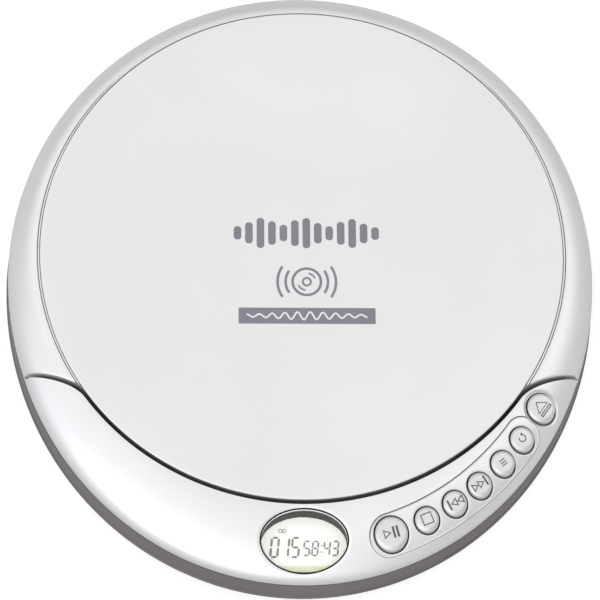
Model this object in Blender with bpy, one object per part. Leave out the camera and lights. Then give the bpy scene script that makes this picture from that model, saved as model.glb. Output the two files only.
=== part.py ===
"""Portable CD player, built as an assembly of separate pieces.

Units are metres. The front faces -Y, +Z is up and Z = 0 is the table the feet stand on.
Dimensions below are in millimetres and become metres as each mesh is made.
"""

import math

import bmesh
import bpy
from mathutils import Matrix, Vector

MM = 0.001

# Plan outline: two half-ellipses that share one width.
HALF_WIDTH = 69.9
FRONT_DEPTH = 76.9
BACK_DEPTH = 71.9
OUTLINE_Y = 2.5
DISC_Y = 5.1

# Heights above the table.
SPLIT_Z = 17.6
FRAME_TOP_Z = 17.3
FRAME_LOW_Z = 15.6
BAND_TOP_Z = 15.3
BAND_LOW_Z = 6.9
COVER_TOP_Z = 6.6
COVER_LOW_Z = 1.0
FLOOR_Z = 2.4
DECK_TOP_Z = 18.0
DECK_LOW_Z = 17.0
WALL_LOW_Z = 18.3
PANEL_TOP_Z = 25.2
RING_TOP_Z = 26.1
PLATE_TOP_Z = 26.4
BAND_FLARE = 1.0

# Lid and panel.
PLATE_RADIUS = 62.0
GROOVE_RADIUS = 62.7
SKIRT_RADIUS = 61.7
LID_WALL = 1.4
PANEL_GAP = 1.0
PANEL_WALL = 1.3
SHOULDER_POWER = 1.75
SWOOP_START = 53.8
SWOOP_END = 65.8
HINGE_Y = 73.0
HINGE_Z = 15.6

# Display.
LCD_CENTRE = (0.0, -65.8)
LCD_HALF = (10.3, 7.2)

# Buttons: name, angle about the disc centre, distance from it, cap radius, top height.
BUTTONS = (
    ("button_play", -73.9, 72.2, 4.1, 25.0),
    ("button_stop", -66.8, 71.8, 3.1, 24.8),
    ("button_previous", -60.7, 71.2, 3.1, 24.9),
    ("button_next", -54.8, 70.6, 3.1, 25.0),
    ("button_list", -48.6, 69.9, 3.1, 25.1),
    ("button_mode", -42.5, 69.0, 3.1, 25.25),
    ("button_eject", -35.0, 67.9, 3.45, 25.5),
)
BUTTON_GAP = 0.25
BUTTON_LEAN = 0.22
TRAY_DEPTH = 0.4

# Batteries and their compartment.
CELL_RADIUS = 7.1
CELL_LENGTH = 50.0
CELL_Z = 9.6
CELL_Y = (37.2, 52.6)
BAY_HALF_X = 30.5
BAY_Y = (29.0, 61.0)


def clear_scene():
    for old in list(bpy.data.objects):
        bpy.data.objects.remove(old)


def material(name, colour, roughness, metallic=0.0, alpha=1.0):
    made = bpy.data.materials.new(name)
    made.use_nodes = True
    shader = made.node_tree.nodes["Principled BSDF"]
    shader.inputs["Base Color"].default_value = (*colour, 1.0)
    shader.inputs["Roughness"].default_value = roughness
    shader.inputs["Metallic"].default_value = metallic
    shader.inputs["Alpha"].default_value = alpha
    made.diffuse_color = (*colour, alpha)
    return made


def outline_radius(degrees):
    """Distance from the disc centre to the plan outline at this angle."""
    across, along = math.cos(math.radians(degrees)), math.sin(math.radians(degrees))
    offset = OUTLINE_Y - DISC_Y
    for depth in (BACK_DEPTH, FRONT_DEPTH):
        a = (across / HALF_WIDTH) ** 2 + (along / depth) ** 2
        b = -2 * along * offset / depth**2
        c = (offset / depth) ** 2 - 1
        radius = (-b + math.sqrt(b * b - 4 * a * c)) / (2 * a)
        if (radius * along >= offset) == (depth == BACK_DEPTH):
            return radius
    return radius


def from_front(degrees):
    """Angle away from straight ahead, 0 at the front and 180 at the back."""
    return abs((degrees + 90.0 + 180.0) % 360.0 - 180.0)


def lid_radius(degrees):
    """Edge of the lid: the disc's own edge in front, sweeping out to the outline."""
    away = from_front(degrees)
    if away <= SWOOP_START:
        return SKIRT_RADIUS
    outline = outline_radius(degrees)
    if away >= SWOOP_END:
        return outline
    share = (away - SWOOP_START) / (SWOOP_END - SWOOP_START)
    return SKIRT_RADIUS + (outline - SKIRT_RADIUS) * share**1.9


def curve_height(radius, degrees, inner, top):
    """Height of the rounded shoulder between its inner edge and the outline."""
    outline = outline_radius(degrees)
    share = min(max((radius - inner) / (outline - inner), 0.0), 1.0)
    return SPLIT_Z + (top - SPLIT_Z) * (1 - share**SHOULDER_POWER) ** (1 / SHOULDER_POWER)


def shoulder_height(radius, degrees):
    return curve_height(radius, degrees, GROOVE_RADIUS, RING_TOP_Z)


def panel_height(radius, degrees):
    return curve_height(radius, degrees, GROOVE_RADIUS, PANEL_TOP_Z)


def polar(degrees, radius):
    """Point at this angle and distance from the disc centre."""
    turn = math.radians(degrees)
    return radius * math.cos(turn), DISC_Y + radius * math.sin(turn)


def panel_height_at(x, y):
    reach = math.hypot(x, y - DISC_Y)
    return panel_height(reach, math.degrees(math.atan2(y - DISC_Y, x)))


def solid(name, points, faces, paint=None, cutter=False):
    """One closed body from millimetre points. Faces are turned to point outwards."""
    mesh = bpy.data.meshes.new(name)
    body = bmesh.new()
    corners = [body.verts.new(Vector(point) * MM) for point in points]
    for face in faces:
        loop = [corners[i] for i in face]
        try:
            body.faces.new(loop)
        except ValueError:
            continue
    bmesh.ops.remove_doubles(body, verts=body.verts, dist=2e-6)
    bmesh.ops.dissolve_degenerate(body, edges=body.edges, dist=1e-6)
    bmesh.ops.recalc_face_normals(body, faces=body.faces)
    body.to_mesh(mesh)
    body.free()
    made = bpy.data.objects.new(name, mesh)
    bpy.context.scene.collection.objects.link(made)
    if paint:
        mesh.materials.append(paint)
    if cutter:
        made.hide_render = True
        made.display_type = "WIRE"
    return made


def ring_of(count, start=0.0):
    return [start + 360.0 * i / count for i in range(count)]


def sweep_loop(name, sections, paint, closed_section=True, cutter=False):
    """Joins sections round a full turn. Each is a closed loop of 3-D points.

    An open section starts and ends on the axis, which closes it as a pole.
    """
    size = len(sections[0])
    points = [point for section in sections for point in section]
    faces = []
    for i in range(len(sections)):
        after = (i + 1) % len(sections)
        for k in range(size if closed_section else size - 1):
            nxt = (k + 1) % size
            faces.append((i * size + k, i * size + nxt, after * size + nxt, after * size + k))
    return solid(name, points, faces, paint, cutter)


def lathe(name, profile, paint, centre=(0.0, 0.0), count=32, cutter=False):
    """Turns (radius, height) points about a vertical axis."""
    closed = profile[0][0] > 0
    sections = []
    for degrees in ring_of(count):
        c, s = math.cos(math.radians(degrees)), math.sin(math.radians(degrees))
        sections.append([(centre[0] + r * c, centre[1] + r * s, z) for r, z in profile])
    return sweep_loop(name, sections, paint, closed, cutter)


def prism(name, outline, low, high, paint=None, cutter=False):
    """Extrudes a plan outline upwards from low to high."""
    size = len(outline)
    points = [(x, y, low) for x, y in outline] + [(x, y, high) for x, y in outline]
    faces = [tuple(range(size)), tuple(range(size, 2 * size))]
    faces += [(i, (i + 1) % size, size + (i + 1) % size, size + i) for i in range(size)]
    return solid(name, points, faces, paint, cutter)


def block(name, low, high, paint=None, cutter=False):
    corners = [(low[0], low[1]), (high[0], low[1]), (high[0], high[1]), (low[0], high[1])]
    return prism(name, corners, low[2], high[2], paint, cutter)


def rod(name, start, end, radius, paint=None, count=16, cutter=False):
    """Round bar between two points."""
    start, end = Vector(start), Vector(end)
    turn = Vector((0, 0, 1)).rotation_difference((end - start).normalized())
    points = []
    for place in (start, end):
        for degrees in ring_of(count):
            c, s = math.cos(math.radians(degrees)), math.sin(math.radians(degrees))
            points.append(place + turn @ Vector((radius * c, radius * s, 0)))
    faces = [tuple(range(count)), tuple(range(count, 2 * count))]
    faces += [(i, (i + 1) % count, count + (i + 1) % count, count + i) for i in range(count)]
    return solid(name, points, faces, paint, cutter)


def ball(name, centre, radius, paint, rings=4, count=8):
    arc = [math.pi * i / rings for i in range(rings + 1)]
    profile = [(radius * math.sin(a), centre[2] + radius * math.cos(a)) for a in arc]
    profile[0] = (0.0, centre[2] + radius)
    profile[-1] = (0.0, centre[2] - radius)
    return lathe(name, profile, paint, centre[:2], count)


def combine(target, tools, operation):
    for tool in tools:
        step = target.modifiers.new(tool.name, "BOOLEAN")
        step.operation = operation
        step.solver = "EXACT"
        step.object = tool
        tool.hide_render = True
        tool.display_type = "WIRE"


def cut(target, *tools):
    combine(target, tools, "DIFFERENCE")


def add(target, *tools):
    combine(target, tools, "UNION")


def smooth(target, degrees=35):
    for face in target.data.polygons:
        face.use_smooth = True
    target.data.set_sharp_from_angle(angle=math.radians(degrees))


def move_origin(target, place):
    """Puts the object's origin on its joint without moving its surface."""
    place = Vector(place) * MM
    target.data.transform(Matrix.Translation(-place))
    target.location = place


def oval(centre, half, count=28, power=2.0):
    points = []
    for degrees in ring_of(count):
        c, s = math.cos(math.radians(degrees)), math.sin(math.radians(degrees))
        x = half[0] * math.copysign(abs(c) ** (2 / power), c)
        y = half[1] * math.copysign(abs(s) ** (2 / power), s)
        points.append((centre[0] + x, centre[1] + y))
    return points


def case_outline(inset, count=72):
    """The plan outline moved inwards by an inset, negative for outwards."""
    points = []
    for degrees in ring_of(count):
        points.append(polar(degrees, outline_radius(degrees) - inset))
    return points


def shell_angles():
    """Angles round the case, closer together where the lid's edge sweeps outwards."""
    aways = [0, 9, 18, 27, 36, 45]
    steps = 7
    aways += [SWOOP_START + (SWOOP_END - SWOOP_START) * i / steps for i in range(steps + 1)]
    aways += [66.6, 75, 86, 98, 110, 122, 134, 146, 158, 170]
    angles = [-90.0 + away for away in aways] + [90.0]
    angles += [-90.0 - away for away in reversed(aways[1:])]
    return angles


clear_scene()

silver = material("silver_plastic", (0.72, 0.71, 0.71), 0.38, 0.55)
plate_white = material("lid_plate_finish", (0.80, 0.80, 0.79), 0.42, 0.25)
taupe = material("dark_case_plastic", (0.17, 0.15, 0.145), 0.5)
charcoal = material("deck_plastic", (0.05, 0.05, 0.055), 0.5)
pale = material("liner_plastic", (0.62, 0.62, 0.63), 0.5)
button_silver = material("button_silver", (0.70, 0.70, 0.70), 0.35, 0.5)
clear = material("clear_window", (0.85, 0.9, 0.88), 0.05, 0.0, 0.3)
display = material("display_glass", (0.80, 0.83, 0.74), 0.3)
board_green = material("circuit_board", (0.03, 0.16, 0.07), 0.5)
chip_black = material("chip_black", (0.02, 0.02, 0.02), 0.45)
steel = material("steel", (0.6, 0.6, 0.62), 0.3, 1.0)
brass = material("contact_metal", (0.75, 0.68, 0.45), 0.35, 1.0)
rubber = material("rubber", (0.04, 0.04, 0.04), 0.85)
silicone = material("keypad_silicone", (0.35, 0.36, 0.38), 0.7)
hub_black = material("hub_plastic", (0.03, 0.03, 0.035), 0.4)
optic = material("lens_glass", (0.35, 0.45, 0.75), 0.05)
cell_wrap = material("cell_wrap", (0.13, 0.23, 0.16), 0.35)


# Lid: one moulding with a recess for the plate, a shoulder ring and a hinge lug.
def lid_section(degrees):
    edge = lid_radius(degrees)
    outline = outline_radius(degrees)
    low = WALL_LOW_Z if from_front(degrees) < SWOOP_END else SPLIT_Z
    reach = [(0.0, 25.3), (min(GROOVE_RADIUS, edge), 25.3)]
    for share in (0.0, 0.3, 0.55, 0.75, 0.9, 0.975, 1.0):
        radius = GROOVE_RADIUS + (outline - GROOVE_RADIUS) * share
        if radius < edge:
            reach.append((radius, shoulder_height(radius, degrees)))
        else:
            top = 25.3 if edge <= GROOVE_RADIUS else shoulder_height(edge, degrees)
            reach.append((edge, top))
    reach += [(edge, low), (edge - LID_WALL, low)]
    inner = edge - LID_WALL
    middle = 0.5 * (inner + 60.3)
    for radius in (inner, middle):
        height = shoulder_height(max(radius + 1.0, GROOVE_RADIUS), degrees) - 1.7
        reach.append((radius, min(height, 24.1)))
    reach += [(60.3, 24.1), (0.0, 24.1)]
    return [(*polar(degrees, radius), height) for radius, height in reach]


lid_shell = sweep_loop("lid_shell", [lid_section(a) for a in shell_angles()], silver, False)
lug = block("lug_block", (-3.9, 72.0, HINGE_Z + 0.1), (3.9, 74.0, 19.2), cutter=True)
barrel = rod("lug_barrel", (-4.2, HINGE_Y, HINGE_Z), (4.2, HINGE_Y, HINGE_Z), 1.5, cutter=True)
bore = rod("lug_bore", (-6, HINGE_Y, HINGE_Z), (6, HINGE_Y, HINGE_Z), 0.75, cutter=True)
CATCH_ANGLE = -37.0
catch_at = polar(CATCH_ANGLE, 60.95)
catch = block("catch_tongue", (-2.5, -0.55, 11.4), (2.5, 0.55, 19.5), cutter=True)
catch_hole = block("catch_window", (-1.6, -2.0, 12.5), (1.6, 2.0, 14.4), cutter=True)
for tool in (catch, catch_hole):
    tool.rotation_euler.z = math.radians(CATCH_ANGLE + 90)
    tool.location = Vector((*catch_at, 0)) * MM
add(lid_shell, lug, barrel, catch)
cut(lid_shell, bore, catch_hole)
smooth(lid_shell)
move_origin(lid_shell, (0, HINGE_Y, HINGE_Z))

lid_plate = lathe(
    "lid_plate",
    [(0, PLATE_TOP_Z), (61.6, PLATE_TOP_Z), (61.9, PLATE_TOP_Z - 0.1), (PLATE_RADIUS, PLATE_TOP_Z - 0.35)]
    + [(PLATE_RADIUS, 25.5), (0, 25.5)],
    plate_white,
    (0, DISC_Y),
    48,
)
smooth(lid_plate)
move_origin(lid_plate, (0, HINGE_Y, HINGE_Z))

lid_liner = lathe(
    "lid_liner",
    [(0, 23.8), (59.8, 23.8), (59.8, 22.8), (16, 22.8), (15, 20.9), (9.4, 20.9), (9.4, 22.6), (0, 22.6)],
    pale,
    (0, DISC_Y),
    28,
)
smooth(lid_liner)
move_origin(lid_liner, (0, HINGE_Y, HINGE_Z))


# Front panel: a rim all round under the lid that rises into the crescent in front.
def panel_section(degrees):
    outline = outline_radius(degrees)
    inner = outline - 2.3
    start = min(lid_radius(degrees) + PANEL_GAP, outline)
    section = [(outline, FRAME_LOW_Z)]
    for share in (1.0, 0.97, 0.88, 0.74, 0.5, 0.25, 0.0):
        radius = start + (outline - start) * share
        height = panel_height(radius, degrees) if start < outline else FRAME_TOP_Z
        section.append((radius, height))
    if start < inner:
        wall = min(start + PANEL_WALL, inner)
        section += [(start, WALL_LOW_Z), (wall, WALL_LOW_Z)]
        for share in (0.0, 0.4, 0.75, 1.0):
            radius = wall + (inner - wall) * share
            height = panel_height(radius, degrees) - PANEL_WALL
            section.append((radius, height if wall < inner else WALL_LOW_Z))
    else:
        section += [(start, FRAME_TOP_Z)] + [(inner, FRAME_TOP_Z)] * 5
    section.append((inner, FRAME_LOW_Z))
    return [(*polar(degrees, radius), height) for radius, height in section]


def tray_patch(name, angles, rise, drop):
    """Closed body that follows the panel's surface inside the button tray's outline."""
    across = (-1.0, -0.6, 0.0, 0.6, 1.0)
    points = []
    for lift in (rise, -drop):
        for degrees, middle, half in angles:
            for share in across:
                radius = middle + half * share
                height = panel_height(radius, degrees)
                points.append((*polar(degrees, radius), height + lift))
    rows, width = len(angles), len(across)
    layer = rows * width
    faces = []
    for i in range(rows - 1):
        for k in range(width - 1):
            quad = (i * width + k, i * width + k + 1, (i + 1) * width + k + 1, (i + 1) * width + k)
            faces += [quad, tuple(layer + q for q in quad)]
    rim = [i * width for i in range(rows)]
    rim += [(rows - 1) * width + k for k in range(1, width)]
    rim += [i * width + width - 1 for i in range(rows - 2, -1, -1)]
    rim += [k for k in range(width - 2, 0, -1)]
    for a, b in zip(rim, rim[1:] + rim[:1]):
        faces.append((a, b, layer + b, layer + a))
    return solid(name, points, faces, cutter=True)


def tray_stations():
    """(angle, middle radius, half width) along the tray, rounded at both ends."""
    stations = []
    first, last = -78.0, -38.3
    count = 14
    for i in range(count + 1):
        share = 0.5 - 0.5 * math.cos(math.pi * i / count)
        degrees = first + (last - first) * share
        middle = outline_radius(degrees) - 6.6 + 0.9 * share
        half = 4.7 - 0.5 * share
        along = math.radians(min(degrees - first, last - degrees)) * middle
        if along < half:
            half *= max(math.sqrt(1 - (1 - along / half) ** 2), 0.12)
        stations.append((degrees, middle, half))
    return stations


front_panel = sweep_loop("front_panel", [panel_section(a) for a in shell_angles()], silver)
cut(front_panel, tray_patch("tray_recess", tray_stations(), 4.0, TRAY_DEPTH))
cut(front_panel, prism("lcd_opening", oval(LCD_CENTRE, LCD_HALF), 18.75, 30, cutter=True))
eject_x, eject_y = polar(BUTTONS[-1][1], BUTTONS[-1][2])
eject_out = Vector((*polar(BUTTONS[-1][1], 1.0), 0)) - Vector((0, DISC_Y, 0))
lean = math.radians(27)
dish_up = eject_out * math.sin(lean) + Vector((0, 0, math.cos(lean)))
dish_floor = Vector((eject_x, eject_y, panel_height_at(eject_x, eject_y))) - dish_up * 0.35
dish = rod("eject_dish", dish_floor, dish_floor + dish_up * 8, 4.25, count=20, cutter=True)
cut(front_panel, dish)
for label, degrees, reach, size, _ in BUTTONS:
    x, y = polar(degrees, reach)
    hole = rod(label + "_hole", (x, y, 14), (x, y, 30), size + BUTTON_GAP, count=20, cutter=True)
    well = rod(label + "_well", (x, y, 14), (x, y, 18.6), size + 0.65, count=12, cutter=True)
    cut(front_panel, hole, well)
ear_block = block("ear_block", (-9.2, 71.9, 15.2), (9.2, 73.4, 16.9), cutter=True)
ear_barrel = rod("ear_barrel", (-9.5, HINGE_Y, HINGE_Z), (9.5, HINGE_Y, HINGE_Z), 1.5, cutter=True)
add(front_panel, ear_block, ear_barrel)
lug_slot = block("lug_slot", (-4.5, 70.5, 13), (4.5, 78, 17.9), cutter=True)
ear_bore = rod("ear_bore", (-8.9, HINGE_Y, HINGE_Z), (8.9, HINGE_Y, HINGE_Z), 0.75, cutter=True)
ear_back = block("ear_back", (-10.5, 73.45, 16.0), (10.5, 80, 19), cutter=True)
cut(front_panel, lug_slot, ear_bore, ear_back)
smooth(front_panel)

hinge_pin = rod("hinge_pin", (-8.6, HINGE_Y, HINGE_Z), (8.6, HINGE_Y, HINGE_Z), 0.7, steel)
smooth(hinge_pin)


# Dark band round the case and the cover that closes it underneath.
def wall_sections(profile, count=48):
    sections = []
    for degrees in ring_of(count):
        outline = outline_radius(degrees)
        sections.append([(*polar(degrees, outline + out), z) for out, z in profile])
    return sections


band_profile = [(0.16, BAND_TOP_Z), (0.6, 11.0), (BAND_FLARE, BAND_LOW_Z + 0.5), (0.9, BAND_LOW_Z)]
band_profile += [(-1.6, BAND_LOW_Z), (-2.0, BAND_TOP_Z)]
case_band = sweep_loop("case_band", wall_sections(band_profile), taupe)
hinge_notch = block("hinge_notch", (-9.9, 70.0, 13.7), (9.9, 80, 18), cutter=True)
jack_hole = rod("jack_hole", (60, -4, 11.2), (80, -4, 11.2), 3.2, count=20, cutter=True)
power_hole = rod("power_hole", (-80, 22, 11.0), (-50, 22, 11.0), 3.2, count=20, cutter=True)
wheel_slot = block("wheel_slot", (62, 7.2, 9.2), (80, 21.8, 12.8), cutter=True)
hold_slot = block("hold_slot", (-80, -3.2, 9.6), (-62, 6.2, 12.4), cutter=True)
cut(case_band, hinge_notch, jack_hole, power_hole, wheel_slot, hold_slot)
smooth(case_band)

cover_profile = [(0.0, COVER_LOW_Z), (-5.5, COVER_LOW_Z), (-2.0, 2.2), (0.2, 4.6), (0.6, COVER_TOP_Z)]
cover_profile += [(-1.6, COVER_TOP_Z), (-1.9, 4.6), (-4.2, 2.8), (-6.0, FLOOR_Z), (0.0, FLOOR_Z)]


def cover_section(degrees):
    outline = outline_radius(degrees)
    radii = [0.0] + [outline + out for out, _ in cover_profile[1:-1]] + [0.0]
    heights = [z for _, z in cover_profile]
    return [(*polar(degrees, radius), z) for radius, z in zip(radii, heights)]


bottom_cover = sweep_loop("bottom_cover", [cover_section(a) for a in ring_of(48)], taupe, False)
SCREWS = ((-52, -16), (52, -16), (-50, 30), (50, 30))
FEET = ((-40, -44), (40, -44), (-44, 40), (44, 40))
bosses = [rod(f"boss_{i}", (x, y, 1.6), (x, y, 16.6), 3.0, cutter=True) for i, (x, y) in enumerate(SCREWS)]
bay_walls = block("bay_walls", (-32.0, 27.4, 1.7), (32.0, 62.5, 9.0), cutter=True)
add(bottom_cover, bay_walls, *bosses)
bay_hole = block("bay_hole", (-BAY_HALF_X, BAY_Y[0], -2), (BAY_HALF_X, BAY_Y[1], 12), cutter=True)
door_rebate = block("door_rebate", (-33.3, 26.2, -2), (33.3, 63.6, 2.0), cutter=True)
cut(bottom_cover, bay_hole, door_rebate)
for i, (x, y) in enumerate(SCREWS):
    shank = rod(f"screw_hole_{i}", (x, y, -1), (x, y, 12.5), 1.25, count=12, cutter=True)
    head = rod(f"screw_head_hole_{i}", (x, y, -1), (x, y, 3.3), 2.4, count=16, cutter=True)
    cut(bottom_cover, shank, head)
for i, (x, y) in enumerate(FEET):
    pocket = rod(f"foot_pocket_{i}", (x, y, -1), (x, y, 1.7), 4.4, count=12, cutter=True)
    cut(bottom_cover, pocket)
smooth(bottom_cover)

for i, (x, y) in enumerate(SCREWS):
    profile = [(0, 1.4), (1.6, 1.4), (2.1, 1.9), (2.1, 3.0), (1.0, 3.0), (1.0, 11.8), (0, 11.8)]
    screw = lathe(f"case_screw_{i + 1}", profile, steel, (x, y), 10)
    smooth(screw)
for i, (x, y) in enumerate(FEET):
    foot = lathe(f"foot_{i + 1}", [(0, 0), (3.6, 0), (4.0, 0.4), (4.0, 1.5), (0, 1.5)], rubber, (x, y), 12)
    smooth(foot)

battery_door = block("battery_door", (-33.0, 26.6, 0.95), (33.0, 63.3, 1.75), taupe)
thumb_rib = block("door_grip", (-8, 59.0, 0.55), (8, 60.2, 1.2), cutter=True)
add(battery_door, thumb_rib)
move_origin(battery_door, (0, 27.0, 1.35))


# Well deck: the floor of the disc space, which carries the mechanism below it.
def deck_edge(degrees):
    if from_front(degrees) < SWOOP_END + 0.5:
        return min(lid_radius(degrees) + 2.7, outline_radius(degrees) - 3.6)
    return outline_radius(degrees) - 2.7


deck_plan = [polar(degrees, deck_edge(degrees)) for degrees in shell_angles()]
well_deck = prism("well_deck", deck_plan, DECK_LOW_Z, DECK_TOP_Z, charcoal)
hub_hole = rod("hub_hole", (0, DISC_Y, 14), (0, DISC_Y, 20), 15.6, count=28, cutter=True)
lens_slot = block("lens_slot", (-7.0, -56.0, 14), (7.0, 2.0, 20), cutter=True)
ear_relief = block("ear_relief", (-10, 70.9, 14), (10, 80, 20), cutter=True)
catch_slot = block("catch_slot", (-3.2, -1.6, 12), (3.2, 1.3, 20), cutter=True)
catch_slot.rotation_euler.z = math.radians(CATCH_ANGLE + 90)
catch_slot.location = Vector((*catch_at, 0)) * MM
eject_relief = rod("eject_relief", (eject_x, eject_y, 14), (eject_x, eject_y, 20), 4.4, cutter=True)
cut(well_deck, hub_hole, lens_slot, ear_relief, catch_slot, eject_relief)

# Mechanism under the deck.
LENS_Y = -17.0
mech_chassis = block("mech_chassis", (-24.5, -60.5, 15.4), (19.5, 21.0, 16.4), steel)
chassis_slot = block("chassis_slot", (-8.3, -58.6, 12), (8.3, -7.5, 20), cutter=True)
shaft_hole = rod("shaft_hole", (0, DISC_Y, 12), (0, DISC_Y, 20), 3.0, count=16, cutter=True)
end_plate = block("end_plate", (-24.3, -60.4, 8.0), (18.5, -59.2, 15.8), cutter=True)
near_plate = block("near_plate", (-24.3, -6.4, 8.0), (-12.8, -5.0, 15.8), cutter=True)
far_plate = block("far_plate", (12.8, -6.4, 8.0), (18.5, -5.0, 15.8), cutter=True)
add(mech_chassis, end_plate, near_plate, far_plate)
ROD_X, ROD_Z, FEED_X, ROD_END = 15.4, 11.0, -21.4, -60.0
cut(mech_chassis, chassis_slot, shaft_hole)
for label, x, size in (("left", -ROD_X, 1.55), ("right", ROD_X, 1.55), ("feed", FEED_X, 1.3)):
    start, end = (x, ROD_END - 0.1, ROD_Z), (x, -2, ROD_Z)
    cut(mech_chassis, rod(f"rod_seat_{label}", start, end, size, count=12, cutter=True))

for label, x in (("guide_rod_left", -ROD_X), ("guide_rod_right", ROD_X)):
    guide = rod(label, (x, ROD_END, ROD_Z), (x, -4.6, ROD_Z), 1.5, steel, count=12)
    smooth(guide)

feed_motor = rod("feed_motor", (FEED_X, -4.4, ROD_Z), (FEED_X, 9.0, ROD_Z), 4.2, steel, count=16)
feed_bore = rod("feed_bore", (FEED_X, -8, ROD_Z), (FEED_X, 4.0, ROD_Z), 1.3, count=12, cutter=True)
cut(feed_motor, feed_bore)
smooth(feed_motor)
feed_screw = rod("feed_screw", (FEED_X, ROD_END, ROD_Z), (FEED_X, 3.6, ROD_Z), 1.25, brass, count=12)
smooth(feed_screw)
move_origin(feed_screw, (FEED_X, -20, ROD_Z))

pickup_sled = block("pickup_sled", (-18.0, -23.0, 8.4), (18.0, -11.0, 14.4), hub_black)
tower = block("lens_tower", (-6.0, -22.0, 13.0), (6.0, -12.0, 16.7), cutter=True)
nut_arm = block("nut_arm", (-23.6, -19.5, 8.9), (-16.0, -14.5, 13.2), cutter=True)
add(pickup_sled, tower, nut_arm)
for i, (x, size) in enumerate(((-ROD_X, 1.56), (ROD_X, 1.56), (FEED_X, 1.31))):
    bush = rod(f"sled_bore_{i}", (x, -40, ROD_Z), (x, 0, ROD_Z), size, count=12, cutter=True)
    cut(pickup_sled, bush)
lens_seat = rod("lens_seat", (0, LENS_Y, 15.7), (0, LENS_Y, 20), 3.0, count=20, cutter=True)
cut(pickup_sled, lens_seat)
pickup_lens = lathe(
    "pickup_lens",
    [(0, 17.4), (1.2, 17.25), (2.2, 16.8), (2.6, 16.5), (2.6, 15.9), (0, 15.9)],
    optic,
    (0, LENS_Y),
    12,
)
smooth(pickup_lens)

spindle_motor = lathe(
    "spindle_motor",
    [(1.08, 15.1), (11.2, 15.1), (11.8, 14.6), (11.8, 7.8), (11.0, 7.2), (1.08, 7.2)],
    steel,
    (0, DISC_Y),
    20,
)
smooth(spindle_motor)
hub_profile = [(0, 21.6), (5.6, 21.6), (7.3, 20.4), (7.3, 19.4), (14.2, 19.4), (14.2, 18.2), (6, 18.2)]
hub_profile += [(5, 16.8), (1.02, 16.8), (1.02, 9.0), (0, 9.0)]
spindle_hub = lathe("spindle_hub", hub_profile, hub_black, (0, DISC_Y), 20)
for i in range(3):
    x, y = math.cos(math.radians(90 + 120 * i)), math.sin(math.radians(90 + 120 * i))
    inside, outside = (3.6 * x, DISC_Y + 3.6 * y, 20.4), (9.5 * x, DISC_Y + 9.5 * y, 20.4)
    cut(spindle_hub, rod(f"ball_seat_{i}", inside, outside, 1.0, count=12, cutter=True))
    centre = (6.5 * x, DISC_Y + 6.5 * y, 20.4)
    smooth(ball(f"clamp_ball_{i + 1}", centre, 0.95, steel))
smooth(spindle_hub)

# Display.
lens_plan = oval(LCD_CENTRE, (LCD_HALF[0] - 0.2, LCD_HALF[1] - 0.2), 24)


def window_points(lift):
    return [(x, y, panel_height_at(x, y) + lift) for x, y in lens_plan]


def window_middle(lift):
    return (*LCD_CENTRE, panel_height_at(*LCD_CENTRE) + lift)


count = len(lens_plan)
window_faces = [(i, (i + 1) % count, count + (i + 1) % count, count + i) for i in range(count)]
window_faces += [(i, (i + 1) % count, 2 * count) for i in range(count)]
window_faces += [(count + i, count + (i + 1) % count, 2 * count + 1) for i in range(count)]
window_nodes = window_points(-0.3) + window_points(-1.2) + [window_middle(-0.3), window_middle(-1.2)]
lcd_window = solid("lcd_window", window_nodes, window_faces, clear)
lcd_module = block("lcd_module", (-10.6, -70.8, 16.8), (10.6, -59.3, 18.6), display)


# Buttons and the keypad under them.
def strip(name, first, last, inner, outer, low, high, paint, count=10):
    """Flat arc-shaped strip that follows the buttons."""
    angles = [first + (last - first) * i / count for i in range(count + 1)]
    plan = [polar(a, outline_radius(a) - inner) for a in angles]
    plan += [polar(a, outline_radius(a) - outer) for a in reversed(angles)]
    return prism(name, plan, low, high, paint)


for label, degrees, reach, size, top in BUTTONS:
    x, y = polar(degrees, reach)
    profile = [(0, top), (size - 0.5, top - 0.06), (size - 0.12, top - 0.25), (size, top - 0.6)]
    profile += [(size, 18.1), (size + 0.4, 18.1), (size + 0.4, 17.6), (0, 17.6)]
    button = lathe(label, profile, button_silver, (x, y), 14)
    # The top leans outwards with the panel round it.
    outwards = Vector((*polar(degrees, 1.0), 0)) - Vector((0, DISC_Y, 0))
    for vertex in button.data.vertices:
        if vertex.co.z > 19 * MM:
            away = (vertex.co - Vector((x, y, 0)) * MM).dot(outwards) + size * MM
            vertex.co.z -= max(away, 0) * BUTTON_LEAN
    smooth(button)
    move_origin(button, (x, y, 17.6))
keypad_mat = strip("keypad_mat", -79.5, -30.5, 3.2, 8.6, 15.7, 16.6, silicone)
keypad_board = strip("keypad_board", -79.5, -30.5, 3.2, 8.6, 14.6, 15.4, board_green)

# Latch: the slider under the eject button.
eject_latch = block("eject_latch", (-2.6, 0.0, 12.2), (2.6, 5.6, 14.0), hub_black)
nose = block("latch_nose", (-1.2, -1.0, 12.8), (1.2, 1.5, 13.8), cutter=True)
add(eject_latch, nose)
latch_at = polar(CATCH_ANGLE, 62.8)
for tool in (eject_latch, nose):
    tool.rotation_euler.z = math.radians(CATCH_ANGLE - 90)
    tool.location = Vector((*latch_at, 0)) * MM


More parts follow.
